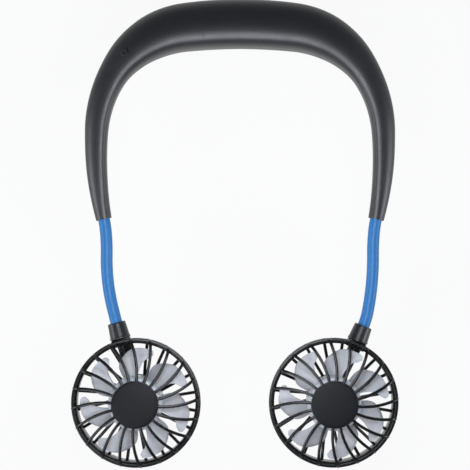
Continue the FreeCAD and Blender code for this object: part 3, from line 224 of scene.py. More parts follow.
@dataclass(frozen=True)
class Finish:
    """What every finish has: a colour, a roughness and how both vary over the surface.

    Scales are in repeats per metre. The roughness has its own clouds, finer than the colour's by a ratio.
    """

    name: str
    colour: Colour
    roughness: float
    metallic: float = 0.0
    specular: float = 0.5
    coat: float = 0.0
    coat_roughness: float = 0.12
    mottle: float = 0.12
    mottle_scale: float = 60.0
    mottle_detail: float = 3.0
    rough_spread: float = 0.12
    rough_ratio: float = 2.3
    rough_detail: float = 4.0
    grain_scale: float = 2400.0
    grain_depth: float = 0.03
    grain_strength: float = 0.25

    def make(self) -> bpy.types.Material:
        """Makes the material.

        Returns:
            The material.
        """
        material = bpy.data.materials.new(self.name)
        material.use_nodes = True
        board = NodeBoard(material.node_tree)
        board.add("ShaderNodeOutputMaterial", {}, {"Surface": self.surface(board)})
        material.diffuse_color = shade(self.colour, 1.0)
        return material

    def surface(self, board: NodeBoard) -> Value:
        """Puts the colour, the polish and the relief together.

        Args:
            board: the material's nodes.

        Returns:
            The shader.
        """
        where = board.add("ShaderNodeTexCoord", output="Object")
        bump = {
            "Height": self.relief(board, where),
            "Strength": self.grain_strength,
            "Distance": self.grain_depth * MM,
        }
        inputs = {
            "Base Color": self.paint(board, where),
            "Roughness": self.polish(board, where),
            "Normal": board.add("ShaderNodeBump", {}, bump),
            "Metallic": self.metallic,
            "Specular IOR Level": self.specular,
            "Coat Weight": self.coat,
            "Coat Roughness": self.coat_roughness,
        }
        inputs.update(self.constants())
        return board.add("ShaderNodeBsdfPrincipled", {}, inputs)

    def constants(self) -> dict[str, Any]:
        """Further shader values that are the same all over."""
        return {}

    def paint(self, board: NodeBoard, where: Value) -> Value:
        """The colour, in faint clouds."""
        cloud = board.noise(where, self.mottle_scale, self.mottle_detail)
        return board.mix(cloud, shade(self.colour, 1 - self.mottle), shade(self.colour, 1 + self.mottle))

    def polish(self, board: NodeBoard, where: Value) -> Value:
        """The roughness, with faint clouds of its own."""
        cloud = board.noise(where, self.mottle_scale * self.rough_ratio, self.rough_detail)
        return (cloud - EVEN) * self.rough_spread + self.roughness

    def relief(self, board: NodeBoard, where: Value) -> Value:
        """The height of the grain."""
        return board.noise(where, self.grain_scale)


@dataclass(frozen=True)
class MouldedPlastic(Finish):
    """Moulded plastic with a fine spark grain and a few hair scuffs."""

    scuff: float = 0.08
    scuff_paler: float = 3.0
    scuff_scale: Colour = (500.0, 45.0, 300.0)
    scuff_detail: float = 5.0
    scuff_stops: Stops = ((0.63, 0.0), (0.72, 1.0))
    cell_share: float = 0.7
    wave_share: float = 0.5
    wave_ratio: float = 6.0

    def scuffs(self, board: NodeBoard, where: Value) -> Value:
        """A mask of thin, sparse scuffs."""
        return board.ramp(board.drawn(where, self.scuff_scale, self.scuff_detail), self.scuff_stops)

    def paint(self, board: NodeBoard, where: Value) -> Value:
        """The clouded colour, a little paler along scuffs."""
        base = super().paint(board, where)
        return board.mix(self.scuffs(board, where) * self.scuff, base, shade(self.colour, self.scuff_paler))

    def polish(self, board: NodeBoard, where: Value) -> Value:
        """The clouded roughness, duller along scuffs."""
        return super().polish(board, where) + self.scuffs(board, where) * self.scuff

    def relief(self, board: NodeBoard, where: Value) -> Value:
        """Grain made of small cells under softer waves.

        Args:
            board: the material's nodes.
            where: the coordinates.

        Returns:
            The height.
        """
        cells = board.add("ShaderNodeTexVoronoi", {}, {"Vector": where, "Scale": self.grain_scale})
        waves = board.noise(where, self.grain_scale / self.wave_ratio)
        return cells * self.cell_share + waves * self.wave_share


@dataclass(frozen=True)
class SleeveRubber(Finish):
    """Smooth rubbery sleeve with faint drawn lines along the hose and a little dust."""

    line_scale: Colour = (1400.0, 45.0, 1400.0)
    line_detail: float = 3.0
    line_share: float = 0.25
    line_darker: float = 0.8
    ridge_detail: float = 2.0
    ridge_share: float = 0.6
    dust: float = 0.12
    dust_colour: Colour = (0.6, 0.7, 0.8)
    dust_scale: float = 1900.0
    dust_detail: float = 1.0
    dust_stops: Stops = ((0.66, 0.0), (0.74, 1.0))

    def paint(self, board: NodeBoard, where: Value) -> Value:
        """The clouded colour, with drawn lines and dust.

        Args:
            board: the material's nodes.
            where: the coordinates.

        Returns:
            The colour.
        """
        base = super().paint(board, where)
        lines = board.drawn(where, self.line_scale, self.line_detail)
        lined = board.mix(lines * self.line_share, base, shade(self.colour, self.line_darker))
        specks = board.ramp(board.noise(where, self.dust_scale, self.dust_detail), self.dust_stops)
        return board.mix(specks * self.dust, lined, shade(self.dust_colour, 1.0))

    def relief(self, board: NodeBoard, where: Value) -> Value:
        """Drawn ridges over a fine skin.

        Args:
            board: the material's nodes.
            where: the coordinates.

        Returns:
            The height.
        """
        ridges = board.drawn(where, self.line_scale, self.ridge_detail)
        skin = board.noise(where, self.grain_scale)
        return ridges * self.ridge_share + skin * (1 - self.ridge_share)


@dataclass(frozen=True)
class MilkyPlastic(Finish):
    """Thin pale plastic that lets a little light through, with faint flow marks.

    The glow reaches into it by a distance in metres.
    """

    glow: float = 0.0
    glow_reach: float = 0.004
    passes_light: float = 0.0
    flow_scale: Colour = (90.0, 260.0, 120.0)
    flow_detail: float = 4.0
    flow_stops: Stops = ((0.45, 0.0), (0.65, 1.0))
    flow_share: float = 0.35
    flow_paler: float = 1.18

    def constants(self) -> dict[str, Any]:
        """The light that comes through from behind.

        Returns:
            The shader's values for it.
        """
        return {
            "Subsurface Weight": self.glow,
            "Subsurface Scale": self.glow_reach,
            "Transmission Weight": self.passes_light,
        }

    def paint(self, board: NodeBoard, where: Value) -> Value:
        """The clouded colour, with drawn-out flow marks.

        Args:
            board: the material's nodes.
            where: the coordinates.

        Returns:
            The colour.
        """
        base = super().paint(board, where)
        marks = board.ramp(board.drawn(where, self.flow_scale, self.flow_detail), self.flow_stops)
        return board.mix(marks * self.flow_share, base, shade(self.colour, self.flow_paler))


@dataclass(frozen=True)
class DrawnMetal(Finish):
    """Bare metal with drawing lines along one axis and dull spots."""

    line_scale: Colour = (1800.0, 1800.0, 90.0)
    line_detail: float = 4.0
    line_spread: float = 0.25
    ridge_detail: float = 3.0

    def polish(self, board: NodeBoard, where: Value) -> Value:
        """The clouded roughness, crossed by drawing lines."""
        lines = board.drawn(where, self.line_scale, self.line_detail)
        return super().polish(board, where) + (lines - EVEN) * self.line_spread

    def relief(self, board: NodeBoard, where: Value) -> Value:
        """The drawing lines."""
        return board.drawn(where, self.line_scale, self.ridge_detail)


@dataclass(frozen=True)
class BoardMask(Finish):
    """Solder mask over copper runs."""

    run_scale: float = 260.0
    run_offset: float = 0.35
    run_width: float = 0.05
    run_share: float = 0.6
    run_paler: float = 2.0

    def paint(self, board: NodeBoard, where: Value) -> Value:
        """Paler lines where copper runs under the mask.

        Args:
            board: the material's nodes.
            where: the coordinates.

        Returns:
            The colour.
        """
        base = super().paint(board, where)
        inputs = {
            "Vector": where,
            "Scale": self.run_scale,
            "Color1": BLACK,
            "Color2": BLACK,
            "Mortar": WHITE,
            "Mortar Size": self.run_width,
        }
        runs = board.add("ShaderNodeTexBrick", {"offset": self.run_offset}, inputs)
        return board.mix(runs * self.run_share, base, shade(self.colour, self.run_paler))


@dataclass(frozen=True)
class FloorPaint(Finish):
    """A pale floor that looks white, keeps a faint shadow and is clear from below."""

    glow: float = 0.88

    def surface(self, board: NodeBoard) -> Value:
        """Mixes matt paint with plain white for the camera, and opens the underside.

        Args:
            board: the material's nodes.

        Returns:
            The shader.
        """
        matt = board.add("ShaderNodeBsdfDiffuse", {}, {"Color": shade(self.colour, 1.0)})
        white = board.add("ShaderNodeEmission", {}, {"Color": WHITE, "Strength": 1.0})
        both = board.add("ShaderNodeMixShader", {}, {0: self.seen(board) * self.glow, 1: matt, 2: white})
        under = board.add("ShaderNodeNewGeometry", output="Backfacing")
        clear = board.add("ShaderNodeBsdfTransparent")
        return board.add("ShaderNodeMixShader", {}, {0: under, 1: both, 2: clear})

    @staticmethod
    def seen(board: NodeBoard) -> Value:
        """Tells the rays that come from the camera, directly or by a mirror or glass.

        Args:
            board: the material's nodes.

        Returns:
            1 for those rays and 0 for others.
        """
        rays = ("Is Camera Ray", "Is Glossy Ray", "Is Transmission Ray")
        camera, glossy, glass = (board.add("ShaderNodeLightPath", output=ray) for ray in rays)
        return camera.at_least(glossy).at_least(glass)


class Finishes:
    """The fan's finishes, and which of them each of the record's material slots has."""

    BAND = MouldedPlastic("band_matte_black", (0.0078, 0.0087, 0.0112), 0.42, specular=0.76, mottle=0.1)
    CAP = MouldedPlastic("cap_matte_black", (0.006, 0.0066, 0.0086), 0.5, specular=0.2, grain_strength=0.35)
    HEAD = MouldedPlastic(
        "head_gloss_black",
        (0.0055, 0.0056, 0.0062),
        0.24,
        specular=0.36,
        rough_spread=0.3,
        mottle_scale=240.0,
        grain_strength=0.12,
    )
    COLLAR = MouldedPlastic("collar_satin_black", (0.006, 0.0063, 0.0072), 0.38, specular=0.6)
    HOSE = SleeveRubber("hose_blue", (0.02, 0.163, 0.425), 0.38, specular=0.32, mottle=0.06)
    BLADE = MilkyPlastic("impeller_grey", (0.5, 0.512, 0.537), 0.42, mottle=0.07, glow=0.15)
    HUB = MilkyPlastic("hub_milky", (0.66, 0.69, 0.73), 0.3, mottle=0.08, glow=0.2, passes_light=0.25)
    CORE = DrawnMetal("core_steel", (0.48, 0.48, 0.47), 0.38, metallic=1.0)
    STEEL = DrawnMetal("plated_steel", (0.62, 0.62, 0.62), 0.28, metallic=1.0, grain_strength=0.12)
    NICKEL = DrawnMetal("bright_nickel", (0.72, 0.69, 0.64), 0.22, metallic=1.0, grain_strength=0.1)
    BRONZE = DrawnMetal("bare_bronze", (0.58, 0.38, 0.17), 0.35, metallic=1.0)
    MAGNET = Finish("magnet_grey", (0.11, 0.11, 0.115), 0.6, metallic=0.6)
    WRAP = Finish("cell_wrap", (0.04, 0.2, 0.16), 0.3, coat=0.3)
    MASK = BoardMask("board_green", (0.012, 0.1, 0.035), 0.35, coat=0.2)
    CHIP = MouldedPlastic("chip_black", (0.018, 0.018, 0.019), 0.5)
    LIGHT = MilkyPlastic("light_clear", (0.8, 0.8, 0.74), 0.15, passes_light=0.6)
    LEAD = SleeveRubber("lead_black", (0.014, 0.014, 0.014), 0.45, dust=0.02)
    FLOOR = FloorPaint("floor_white", (0.86, 0.86, 0.86), 1.0)

    SLOTS = {
        "band_black": BAND,
        "head_black": HEAD,
        "hose_blue": HOSE,
        "impeller_grey": BLADE,
        "core_steel": CORE,
        "steel": STEEL,
        "nickel": NICKEL,
        "bronze": BRONZE,
        "magnet_grey": MAGNET,
        "cell_wrap": WRAP,
        "board_green": MASK,
        "chip_black": CHIP,
        "light_clear": LIGHT,
        "lead_black": LEAD,
    }
    made: dict[str, bpy.types.Material] = {}

    @classmethod
    def get(cls, finish: Finish) -> bpy.types.Material:
        """The material of a finish, made the first time it is asked for.

        Args:
            finish: the finish.

        Returns:
            Its material.
        """
        if finish.name not in cls.made:
            cls.made[finish.name] = finish.make()
        return cls.made[finish.name]


def pick(geometry: Sequence[Any], kind: type) -> list[Any]:
    """The vertices, edges or faces among some geometry."""
    return [item for item in geometry if isinstance(item, kind)]


def oblong(inner: float, outer: float, low: float, high: float) -> list[tuple[float, float]]:
    """The corners of an upright oblong, as an outline."""
    return [(inner, low), (outer, low), (outer, high), (inner, high)]


def rounded_ring(width: float, height: float, count: int, power: float = 3.0) -> list[tuple[float, float]]:
    """Points of a rounded oblong round the origin.

    Args:
        width: its full width.
        height: its full height.
        count: the number of points.
        power: how square it is, from 2 for an ellipse upwards.

    Returns:
        The points.
    """
    points = []
    for index in range(count):
        angle = math.tau * (index + 0.5) / count
        across, up = math.cos(angle), math.sin(angle)
        reach = (abs(across) ** power + abs(up) ** power) ** (-1 / power)
        points.append((across * reach * width / 2, up * reach * height / 2))
    return points


def smooth(mesh: bpy.types.Mesh, sharp: float = SHARP) -> None:
    """Shades a mesh smooth, except at edges that turn by more than an angle."""
    mesh.shade_smooth()
    mesh.set_sharp_from_angle(angle=math.radians(sharp))


def show(name: str, data: Any) -> bpy.types.Object:
    """Puts a mesh, a lamp or a camera into the scene.

    Args:
        name: the object's name.
        data: what it shows.

    Returns:
        The object, at the origin.
    """
    shown = bpy.data.objects.new(name, data)
    bpy.context.scene.collection.objects.link(shown)
    return shown


class Workpiece:
    """A mesh while operators shape it. Outlines and widths are in millimetres, points in metres."""

    def __init__(self) -> None:
        """Starts empty."""
        self.bm = bmesh.new()

    def line(self, points: Sequence[Any], closed: bool) -> tuple[list[Any], list[Any]]:
        """Adds a row of vertices with edges between them.

        Args:
            points: the vertices' places.
            closed: whether the last point joins the first.

        Returns:
            The vertices and the edges.
        """
        verts = [self.bm.verts.new(point) for point in points]
        pairs = list(zip(verts, verts[1:]))
        if closed:
            pairs.append((verts[-1], verts[0]))
        return verts, [self.bm.edges.new(pair) for pair in pairs]

    def lathe(self, outline: Outline, steps: int = 96, closed: bool = True) -> list[Any]:
        """Turns an outline about Z.

        Args:
            outline: radius and height of each point.
            steps: the number of steps in the full turn.
            closed: whether the last point joins the first.

        Returns:
            The turned vertices, edges and faces.
        """
        before = set(self.bm.verts)
        verts, edges = self.line([(radius * MM, 0.0, height * MM) for radius, height in outline], closed)
        bmesh.ops.spin(
            self.bm,
            geom=verts + edges,
            cent=(0, 0, 0),
            axis=(0, 0, 1),
            angle=math.tau,
            steps=steps,
            use_merge=True,
        )
        bmesh.ops.remove_doubles(self.bm, verts=[v for v in self.bm.verts if v not in before], dist=WELD)
        return self.since(before)

    def stand(self, outline: Outline, foot: Vector, steps: int = 40) -> None:
        """Turns an outline about an upright line.

        Args:
            outline: radius and height of each point.
            foot: a point on the line, from which heights count.
            steps: the number of steps in the full turn.
        """
        made = self.lathe(outline, steps, closed=False)
        bmesh.ops.translate(self.bm, vec=foot, verts=pick(made, bmesh.types.BMVert))

    def since(self, before: set[Any]) -> list[Any]:
        """Finds what is newer than a set of vertices.

        Args:
            before: the vertices.

        Returns:
            The newer vertices, and the edges and faces between them.
        """
        fresh = [v for v in self.bm.verts if v not in before]
        known = set(fresh)
        edges = [e for e in self.bm.edges if all(v in known for v in e.verts)]
        faces = [f for f in self.bm.faces if all(v in known for v in f.verts)]
        return fresh + edges + faces

    def sweep(self, rings: Sequence[Sequence[Vector]], closed: bool = True, capped: bool = True) -> list[Any]:
        """Draws a ring of points out from station to station.

        Args:
            rings: the ring's points at each station.
            closed: whether each ring's last point joins its first.
            capped: whether the two ends are closed with a face.

        Returns:
            The vertices, edges and faces that were made.
        """
        before = set(self.bm.verts)
        row, edges = self.line(rings[0], closed)
        first_edges = edges
        for ring in rings[1:]:
            made = bmesh.ops.extrude_edge_only(self.bm, edges=edges)["geom"]
            fresh = set(pick(made, bmesh.types.BMVert))
            row = [next(e.other_vert(v) for e in v.link_edges if e.other_vert(v) in fresh) for v in row]
            for vert, point in zip(row, ring):
                vert.co = point
            edges = [e for e in pick(made, bmesh.types.BMEdge) if all(v in fresh for v in e.verts)]
        if capped:
            bmesh.ops.contextual_create(self.bm, geom=first_edges)
            bmesh.ops.contextual_create(self.bm, geom=edges)
        return self.since(before)

    def block(self, low: Sequence[float], high: Sequence[float]) -> list[Any]:
        """Adds a box.

        Args:
            low: its lowest corner, in millimetres.
            high: its highest corner, in millimetres.

        Returns:
            Its vertices, edges and faces.
        """
        before = set(self.bm.verts)
        centre = [(a + b) / 2 * MM for a, b in zip(low, high)]
        spans = [(b - a) * MM for a, b in zip(low, high)]
        matrix = Matrix.Translation(centre) @ Matrix.Diagonal((*spans, 1.0))
        bmesh.ops.create_cube(self.bm, size=1.0, matrix=matrix)
        return self.since(before)

    def soften(self, geometry: Sequence[Any], width: float, segments: int = 2, angle: float = 28.0) -> None:
        """Rounds the sharp edges of some geometry.

        Args:
            geometry: vertices, edges and faces.
            width: how wide the rounding is.
            segments: how many steps it has.
            angle: the least turn of an edge that is rounded.
        """
        edges = [
            edge
            for edge in pick(geometry, bmesh.types.BMEdge)
            if edge.is_valid and len(edge.link_faces) == 2 and edge.calc_face_angle() > math.radians(angle)
        ]
        bmesh.ops.bevel(
            self.bm,
            geom=edges,
            offset=width * MM,
            offset_type="OFFSET",
            affect="EDGES",
            segments=segments,
            profile=0.5,
            material=-1,
            clamp_overlap=True,
        )

    def repeat(self, geometry: Sequence[Any], count: int) -> None:
        """Repeats geometry evenly round Z.

        Args:
            geometry: vertices, edges and faces.
            count: how many there are in the end.
        """
        bmesh.ops.spin(
            self.bm,
            geom=list(geometry),
            cent=(0, 0, 0),
            axis=(0, 0, 1),
            angle=math.tau * (count - 1) / count,
            steps=count - 1,
            use_duplicate=True,
        )

    def thicken(self, thickness: float) -> None:
        """Gives an open skin a wall, grown inwards from the skin.

        Args:
            thickness: the wall's thickness.
        """
        bmesh.ops.remove_doubles(self.bm, verts=self.bm.verts, dist=WELD)
        bmesh.ops.recalc_face_normals(self.bm, faces=self.bm.faces)
        bmesh.ops.solidify(self.bm, geom=self.bm.faces[:], thickness=thickness * MM)

    def piece(
        self, name: str, finish: Finish, place: Optional[Matrix] = None, sharp: float = SHARP
    ) -> bpy.types.Object:
        """Turns the mesh into an object at the origin.

        Args:
            name: the object's name.
            finish: what it is made of.
            place: where the mesh goes, in the shared frame.
            sharp: the angle above which an edge stays sharp.

        Returns:
            The object.
        """
        bmesh.ops.recalc_face_normals(self.bm, faces=self.bm.faces)
        if place is not None:
            bmesh.ops.transform(self.bm, matrix=place, verts=self.bm.verts)
        mesh = bpy.data.meshes.new(name)
        self.bm.to_mesh(mesh)
        self.bm.free()
        smooth(mesh, sharp)
        mesh.materials.append(Finishes.get(finish))
        return show(name, mesh)


def carve(shown: bpy.types.Object, cutter: bpy.types.Object) -> None:
    """Cuts one object out of another, clears slivers away and removes the cutter.

    Args:
        shown: the object that is cut.
        cutter: the object that is taken out of it.
    """
    cut = shown.modifiers.new("cut", "BOOLEAN")
    cut.operation = "DIFFERENCE"
    cut.solver = "EXACT"
    cut.object = cutter
    shape = bpy.data.meshes.new_from_object(shown.evaluated_get(bpy.context.evaluated_depsgraph_get()))
    shown.modifiers.clear()
    shown.data = shape
    clean = bmesh.new()
    clean.from_mesh(shape)
    bmesh.ops.remove_doubles(clean, verts=clean.verts, dist=SLIVER)
    bmesh.ops.dissolve_verts(clean, verts=[v for v in clean.verts if len(v.link_edges) == 2])
    clean.to_mesh(shape)
    clean.free()
    smooth(shape)
    bpy.data.objects.remove(cutter)


def settle(shown: bpy.types.Object, body: str, node: str) -> None:
    """Lets a piece ride on a body in place of a solid.

    Args:
        shown: the piece.
        body: the body that carries it.
        node: the solid that it stands for.
    """
    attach(shown, body)
    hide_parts(node)
    LOG.info("%s rides on %s for %s", shown.name, body, node)


@dataclass
class ScrewSet:
    """Cross-headed screws of one kind, head down, with their heads seen from behind."""

    head_height: float
    length: float
    head_radius: float = 1.9
    head_crown: float = 0.04
    shank_radius: float = 1.0
    tip_inset: float = 0.4
    tip_length: float = 0.5
    edge: float = 0.45
    edge_share: float = 0.3
    slot_width: float = 0.56
    slot_length: float = 2.3
    slot_depth: float = 0.6
    slot_overcut: float = 1.0

    def build(self, name: str, feet: Sequence[Vector], place: Optional[Matrix] = None) -> bpy.types.Object:
        """Builds the screws as one piece.

        Args:
            name: the piece's name.
            feet: the middle of each head's face, in metres.
            place: the frame of those points.

        Returns:
            The piece.
        """
        head, shank = self.head_radius, self.shank_radius
        nip = self.edge * self.edge_share
        outline = [(0.0, 0.0), (head - self.edge, self.head_crown), (head - nip, nip), (head, self.edge)]
        outline += [(head, self.head_height), (shank, self.head_height)]
        outline += [(shank, self.length - self.tip_length), (shank - self.tip_inset, self.length)]
        outline.append((0.0, self.length))
        work, slots = Workpiece(), Workpiece()
        for foot in feet:
            work.stand(outline, foot)
            slots.sweep([self.cross(foot, level) for level in (-self.slot_overcut, self.slot_depth)])
        shown = work.piece(name, Finishes.STEEL, place)
        carve(shown, slots.piece("slot_cutter", Finishes.STEEL, place))
        return shown

    def cross(self, foot: Vector, level: float) -> list[Vector]:
        """The outline of a cross slot.

        Args:
            foot: the middle of the head's face, in metres.
            level: the outline's height over that face.

        Returns:
            The outline's points, in metres.
        """
        half, reach = self.slot_width / 2, self.slot_length / 2
        corners = [(half, half), (half, reach), (-half, reach)]
        points = []
        for quarter in range(4):
            wheel = Matrix.Rotation(math.pi / 2 * quarter, 3, "Z")
            points += [foot + wheel @ Vector((across, up, level)) * MM for across, up in corners]
        return points


@dataclass
class Course:
    """A flat course of tangent arcs: its start, its heading from +X, and each run's length and turn.

    Distances count from zero_at, and the last run goes on without end.
    """

    start: Vector
    heading: float
    runs: Sequence[tuple[float, float]]
    zero_at: float = 0.0

    def at(self, distance: float) -> tuple[Vector, float]:
        """Finds a place on the course.

        Args:
            distance: how far along, from the zero point.

        Returns:
            The point, in millimetres, and the heading there.
        """
        left = distance + self.zero_at
        point, heading = self.start.copy(), self.heading
        for index, (length, turn) in enumerate(self.runs):
            last = index == len(self.runs) - 1
            into = left if last else min(left, length)
            angle, bend = math.radians(heading), math.radians(turn) / length
            if abs(bend) < TINY:
                point += Vector((math.cos(angle), math.sin(angle), 0)) * into
            else:
                swung = angle + bend * into
                step = Vector((math.sin(swung) - math.sin(angle), math.cos(angle) - math.cos(swung), 0))
                point += step / bend
            heading += turn * into / length
            left -= into
            if left <= TINY:
                break
        return point, heading


@dataclass
class PowerKey:
    """The round key in the left shoulder: a dished top with a rounded lip, and a flange inside the band.

    Its top follows the shoulder's slope, which starts at a height over its foot and lifts its highest edge.
    The lip's points are insets from its radius and drops from its top.
    """

    radius: float = 2.3
    gap: float = 0.12
    flange: float = 0.55
    flange_height: float = 1.2
    lip: Outline = ((0.0, 0.45), (0.12, 0.15), (0.42, 0.0), (0.8, 0.12))
    dish: float = 0.3
    slope: float = 17.4
    slope_rise: float = 1.0
    slope_from: float = 2.0
    sharp: float = 50.0

    def build(self, turn: float) -> None:
        """Builds the key where its solid is.

        Args:
            turn: the direction along the band at the key, in radians.
        """
        low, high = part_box("power_button")
        middle = (low + high) / 2
        top = high.z / MM - self.slope_rise
        bottom = low.z / MM
        shelf = bottom + self.flange_height
        inside = self.radius + self.flange
        outline = [(0.0, bottom), (inside, bottom), (inside, shelf), (self.radius, shelf)]
        outline += [(self.radius - inset, top - drop) for inset, drop in self.lip]
        outline.append((0.0, top - self.dish))
        work = Workpiece()
        work.lathe(outline, steps=64, closed=False)
        aside = Vector((-math.sin(turn), math.cos(turn), 0.0))
        fall = math.tan(math.radians(self.slope))
        for vert in work.bm.verts:
            if vert.co.z > (bottom + self.slope_from) * MM:
                vert.co.z -= fall * vert.co.dot(aside)
        place = Matrix.Translation((middle.x, middle.y, 0.0))
        key = work.piece("power_key", Finishes.BAND, place, self.sharp)
        settle(key, "button", "power_button")


@dataclass
class NeckBand:
    """The U-shaped band: two shells round a curved centreline, their screws and the power key.

    The centreline's runs hold a length and a turn. The cuts for the key and the screws hold the heights
    between which a hole is cut, and the socket's cut holds its start and its length.
    """

    crown: tuple[float, float] = (32.1, 6.8)
    shoulder: tuple[float, float] = (53.0, 54.0)
    upper_leg: tuple[float, float] = (33.3, 26.2)
    lower_leg: tuple[float, float] = (52.3, 15.5)
    widths: tuple[float, ...] = (28.6, 28.0, 26.2, 22.0, 17.3, 13.7, 11.9, 9.2)
    crown_depth: float = 25.2
    rest_flat_cut: float = 0.6
    ridge_share: float = 0.42
    ridge_fade: float = 0.8
    fade_power: float = 8.0
    skin: float = 0.95
    trim: float = 0.02
    seam: float = 0.09
    sections: int = 150
    board_station: float = 64.0
    board_step: float = 0.5
    key_shift: float = 6.6
    key_offset: float = 1.0
    key_cut: tuple[float, float] = (3.0, 20.0)
    socket_shift: float = 6.0
    socket_opening: tuple[float, float] = (8.0, 3.1)
    socket_corner: float = 0.9
    socket_cut: tuple[float, float] = (6.0, 12.0)
    screw_stations: tuple[float, float] = (41.0, 104.0)
    screw_hole: float = 2.0
    screw_cut: tuple[float, float] = (-30.0, -3.0)
    screw_head: float = 1.4
    screw_sink: float = 2.2
    screw_grip: float = 5.0

    def __post_init__(self) -> None:
        """Works out the centreline and the stations of the widths."""
        runs = [self.crown, self.shoulder, self.upper_leg, self.lower_leg]
        self.key = PowerKey()
        self.half = sum(length for length, _ in runs)
        # The legs' ends lean in by what the runs turn beyond a right angle.
        self.lean = sum(turn for _, turn in runs) - 90
        self.middle = self.crown_depth / 2 - self.rest_flat_cut
        top = Vector((0.0, self.ridge_share * self.widths[0] / 2, self.middle))
        self.course = Course(top, 0.0, [(length, -turn) for length, turn in runs])
        knee = self.crown[0] + self.shoulder[0] + self.upper_leg[0]
        third = self.shoulder[0] / 3
        self.stations = [
            0.0,
            self.crown[0],
            self.crown[0] + third,
            self.crown[0] + 2 * third,
            self.crown[0] + self.shoulder[0],
            knee,
            knee + self.lower_leg[0] / 2,
            self.half,
        ]

    def width(self, distance: float) -> float:
        """The width of a section, on a cubic curve through the stations' widths.

        Args:
            distance: from the crown's middle.

        Returns:
            The width.
        """
        where = min(abs(distance), self.half)
        marks, widths = self.stations, self.widths
        index = max(i for i in range(len(marks) - 1) if marks[i] <= where + TINY)
        slopes = [self.slope_at(index), self.slope_at(index + 1)]
        span = marks[index + 1] - marks[index]
        t = (where - marks[index]) / span
        return (
            (2 * t ** 3 - 3 * t ** 2 + 1) * widths[index]
            + (t ** 3 - 2 * t ** 2 + t) * span * slopes[0]
            + (-2 * t ** 3 + 3 * t ** 2) * widths[index + 1]
            + (t ** 3 - t ** 2) * span * slopes[1]
        )

    def slope_at(self, index: int) -> float:
        """How fast the width changes at a station.

        Args:
            index: the station's number.

        Returns:
            The slope, which is nothing at the crown's middle.
        """
        if index == 0:
            return 0.0
        before, after = index - 1, min(index + 1, len(self.stations) - 1)
        return (self.widths[after] - self.widths[before]) / (self.stations[after] - self.stations[before])

    def depth(self, distance: float, width: float) -> float:
        """The depth of a section of some width, which grows rounder towards the legs' ends."""
        ratio = self.crown_depth / self.widths[0]
        return width * (ratio + (1 - ratio) * abs(distance) / self.half)

    def place(self, distance: float, inward: float = 0.0, height: float = 0.0) -> Vector:
        """A point of the band.

        Args:
            distance: from the crown's middle, negative on the left.
            inward: the offset to the inner edge.
            height: over the parting plane.

        Returns:
            The point, in metres.
        """
        point, heading = self.course.at(abs(distance))
        angle = math.radians(heading)
        point = point + Vector((math.sin(angle), -math.cos(angle), 0.0)) * inward
        if distance < 0:
            point.x = -point.x
        point.z += height
        return point * MM

    def half_ring(self, distance: float, face: Face, count: int = 28) -> list[Vector]:
        """Half the band's egg-shaped section, from its inner to its outer edge.

        Args:
            distance: from the crown's middle, negative on the left.
            face: which half.
            count: the number of steps.

        Returns:
            The points, in metres.
        """
        width = self.width(distance) - self.trim
        depth = self.depth(distance, width)
        share = abs(distance) / self.half
        ridge = self.ridge_share * (1 - self.ridge_fade * share ** self.fade_power)
        points = []
        for index in range(count + 1):
            angle = math.pi * index / count
            inward = width / 2 * (math.cos(angle) + ridge * math.sin(angle) ** 2)
            height = max(depth / 2 * math.sin(angle), self.seam)
            height = min(height, self.middle) if face is Face.REAR else height
            points.append(self.place(distance, inward, face.value * height))
        return points

    def build(self) -> None:
        """Builds both shells, the key and the screws."""
        stations = [self.half * (2 * step / self.sections - 1) for step in range(self.sections + 1)]
        for face, name in ((Face.FRONT, "front"), (Face.REAR, "rear")):
            work = Workpiece()
            work.sweep([self.half_ring(station, face) for station in stations], closed=False, capped=False)
            work.thicken(self.skin)
            shell = work.piece(f"band_{name}_cover", Finishes.BAND)
            carve(shell, self.cutter(face))
            settle(shell, "band", f"band_{name}_shell")
        self.key.build(self.board_turn())
        self.build_screws()

    def board_way(self) -> Vector:
        """A short step along the band at the control board."""
        ahead = self.place(-self.board_station + self.board_step)
        return ahead - self.place(-self.board_station - self.board_step)

    def board_turn(self) -> float:
        """The direction along the band at the control board, in radians."""
        ahead = self.board_way()
        return math.atan2(ahead.y, ahead.x)

    def board_point(self, shift: float, outward: float) -> Vector:
        """A point over the control board.

        Args:
            shift: how far along the band.
            outward: the offset to the outer edge.

        Returns:
            The point, in metres.
        """
        ahead = self.board_way().normalized()
        aside = Vector((-ahead.y, ahead.x, 0.0))
        return self.place(-self.board_station) + ahead * (shift * MM) + aside * (outward * MM)

    def cutter(self, face: Face) -> bpy.types.Object:
        """Makes what is cut out of a shell: the socket's opening, and the key's hole or the screws' holes.

        Args:
            face: which shell.

        Returns:
            The cutter.
        """
        work = Workpiece()
        long, high = self.socket_opening
        cut_from, cut_length = self.socket_cut
        slot = work.block((-long / 2, 0, -high / 2), (long / 2, cut_length, high / 2))
        work.soften(slot, self.socket_corner, segments=3)
        turn = Matrix.Rotation(self.board_turn(), 4, "Z")
        mouth = Matrix.Translation(self.board_point(self.socket_shift, cut_from)) @ turn
        bmesh.ops.transform(work.bm, matrix=mouth, verts=work.bm.verts)
        if face is Face.FRONT:
            rod = oblong(0, self.key.radius + self.key.gap, *self.key_cut)
            work.stand(rod, self.board_point(-self.key_shift, self.key_offset))
        else:
            rod = oblong(0, self.screw_hole, *self.screw_cut)
            for station in self.screw_stations:
                for side in Side:
                    work.stand(rod, self.place(side.sign * station))
        return work.piece("band_cutter", Finishes.BAND)

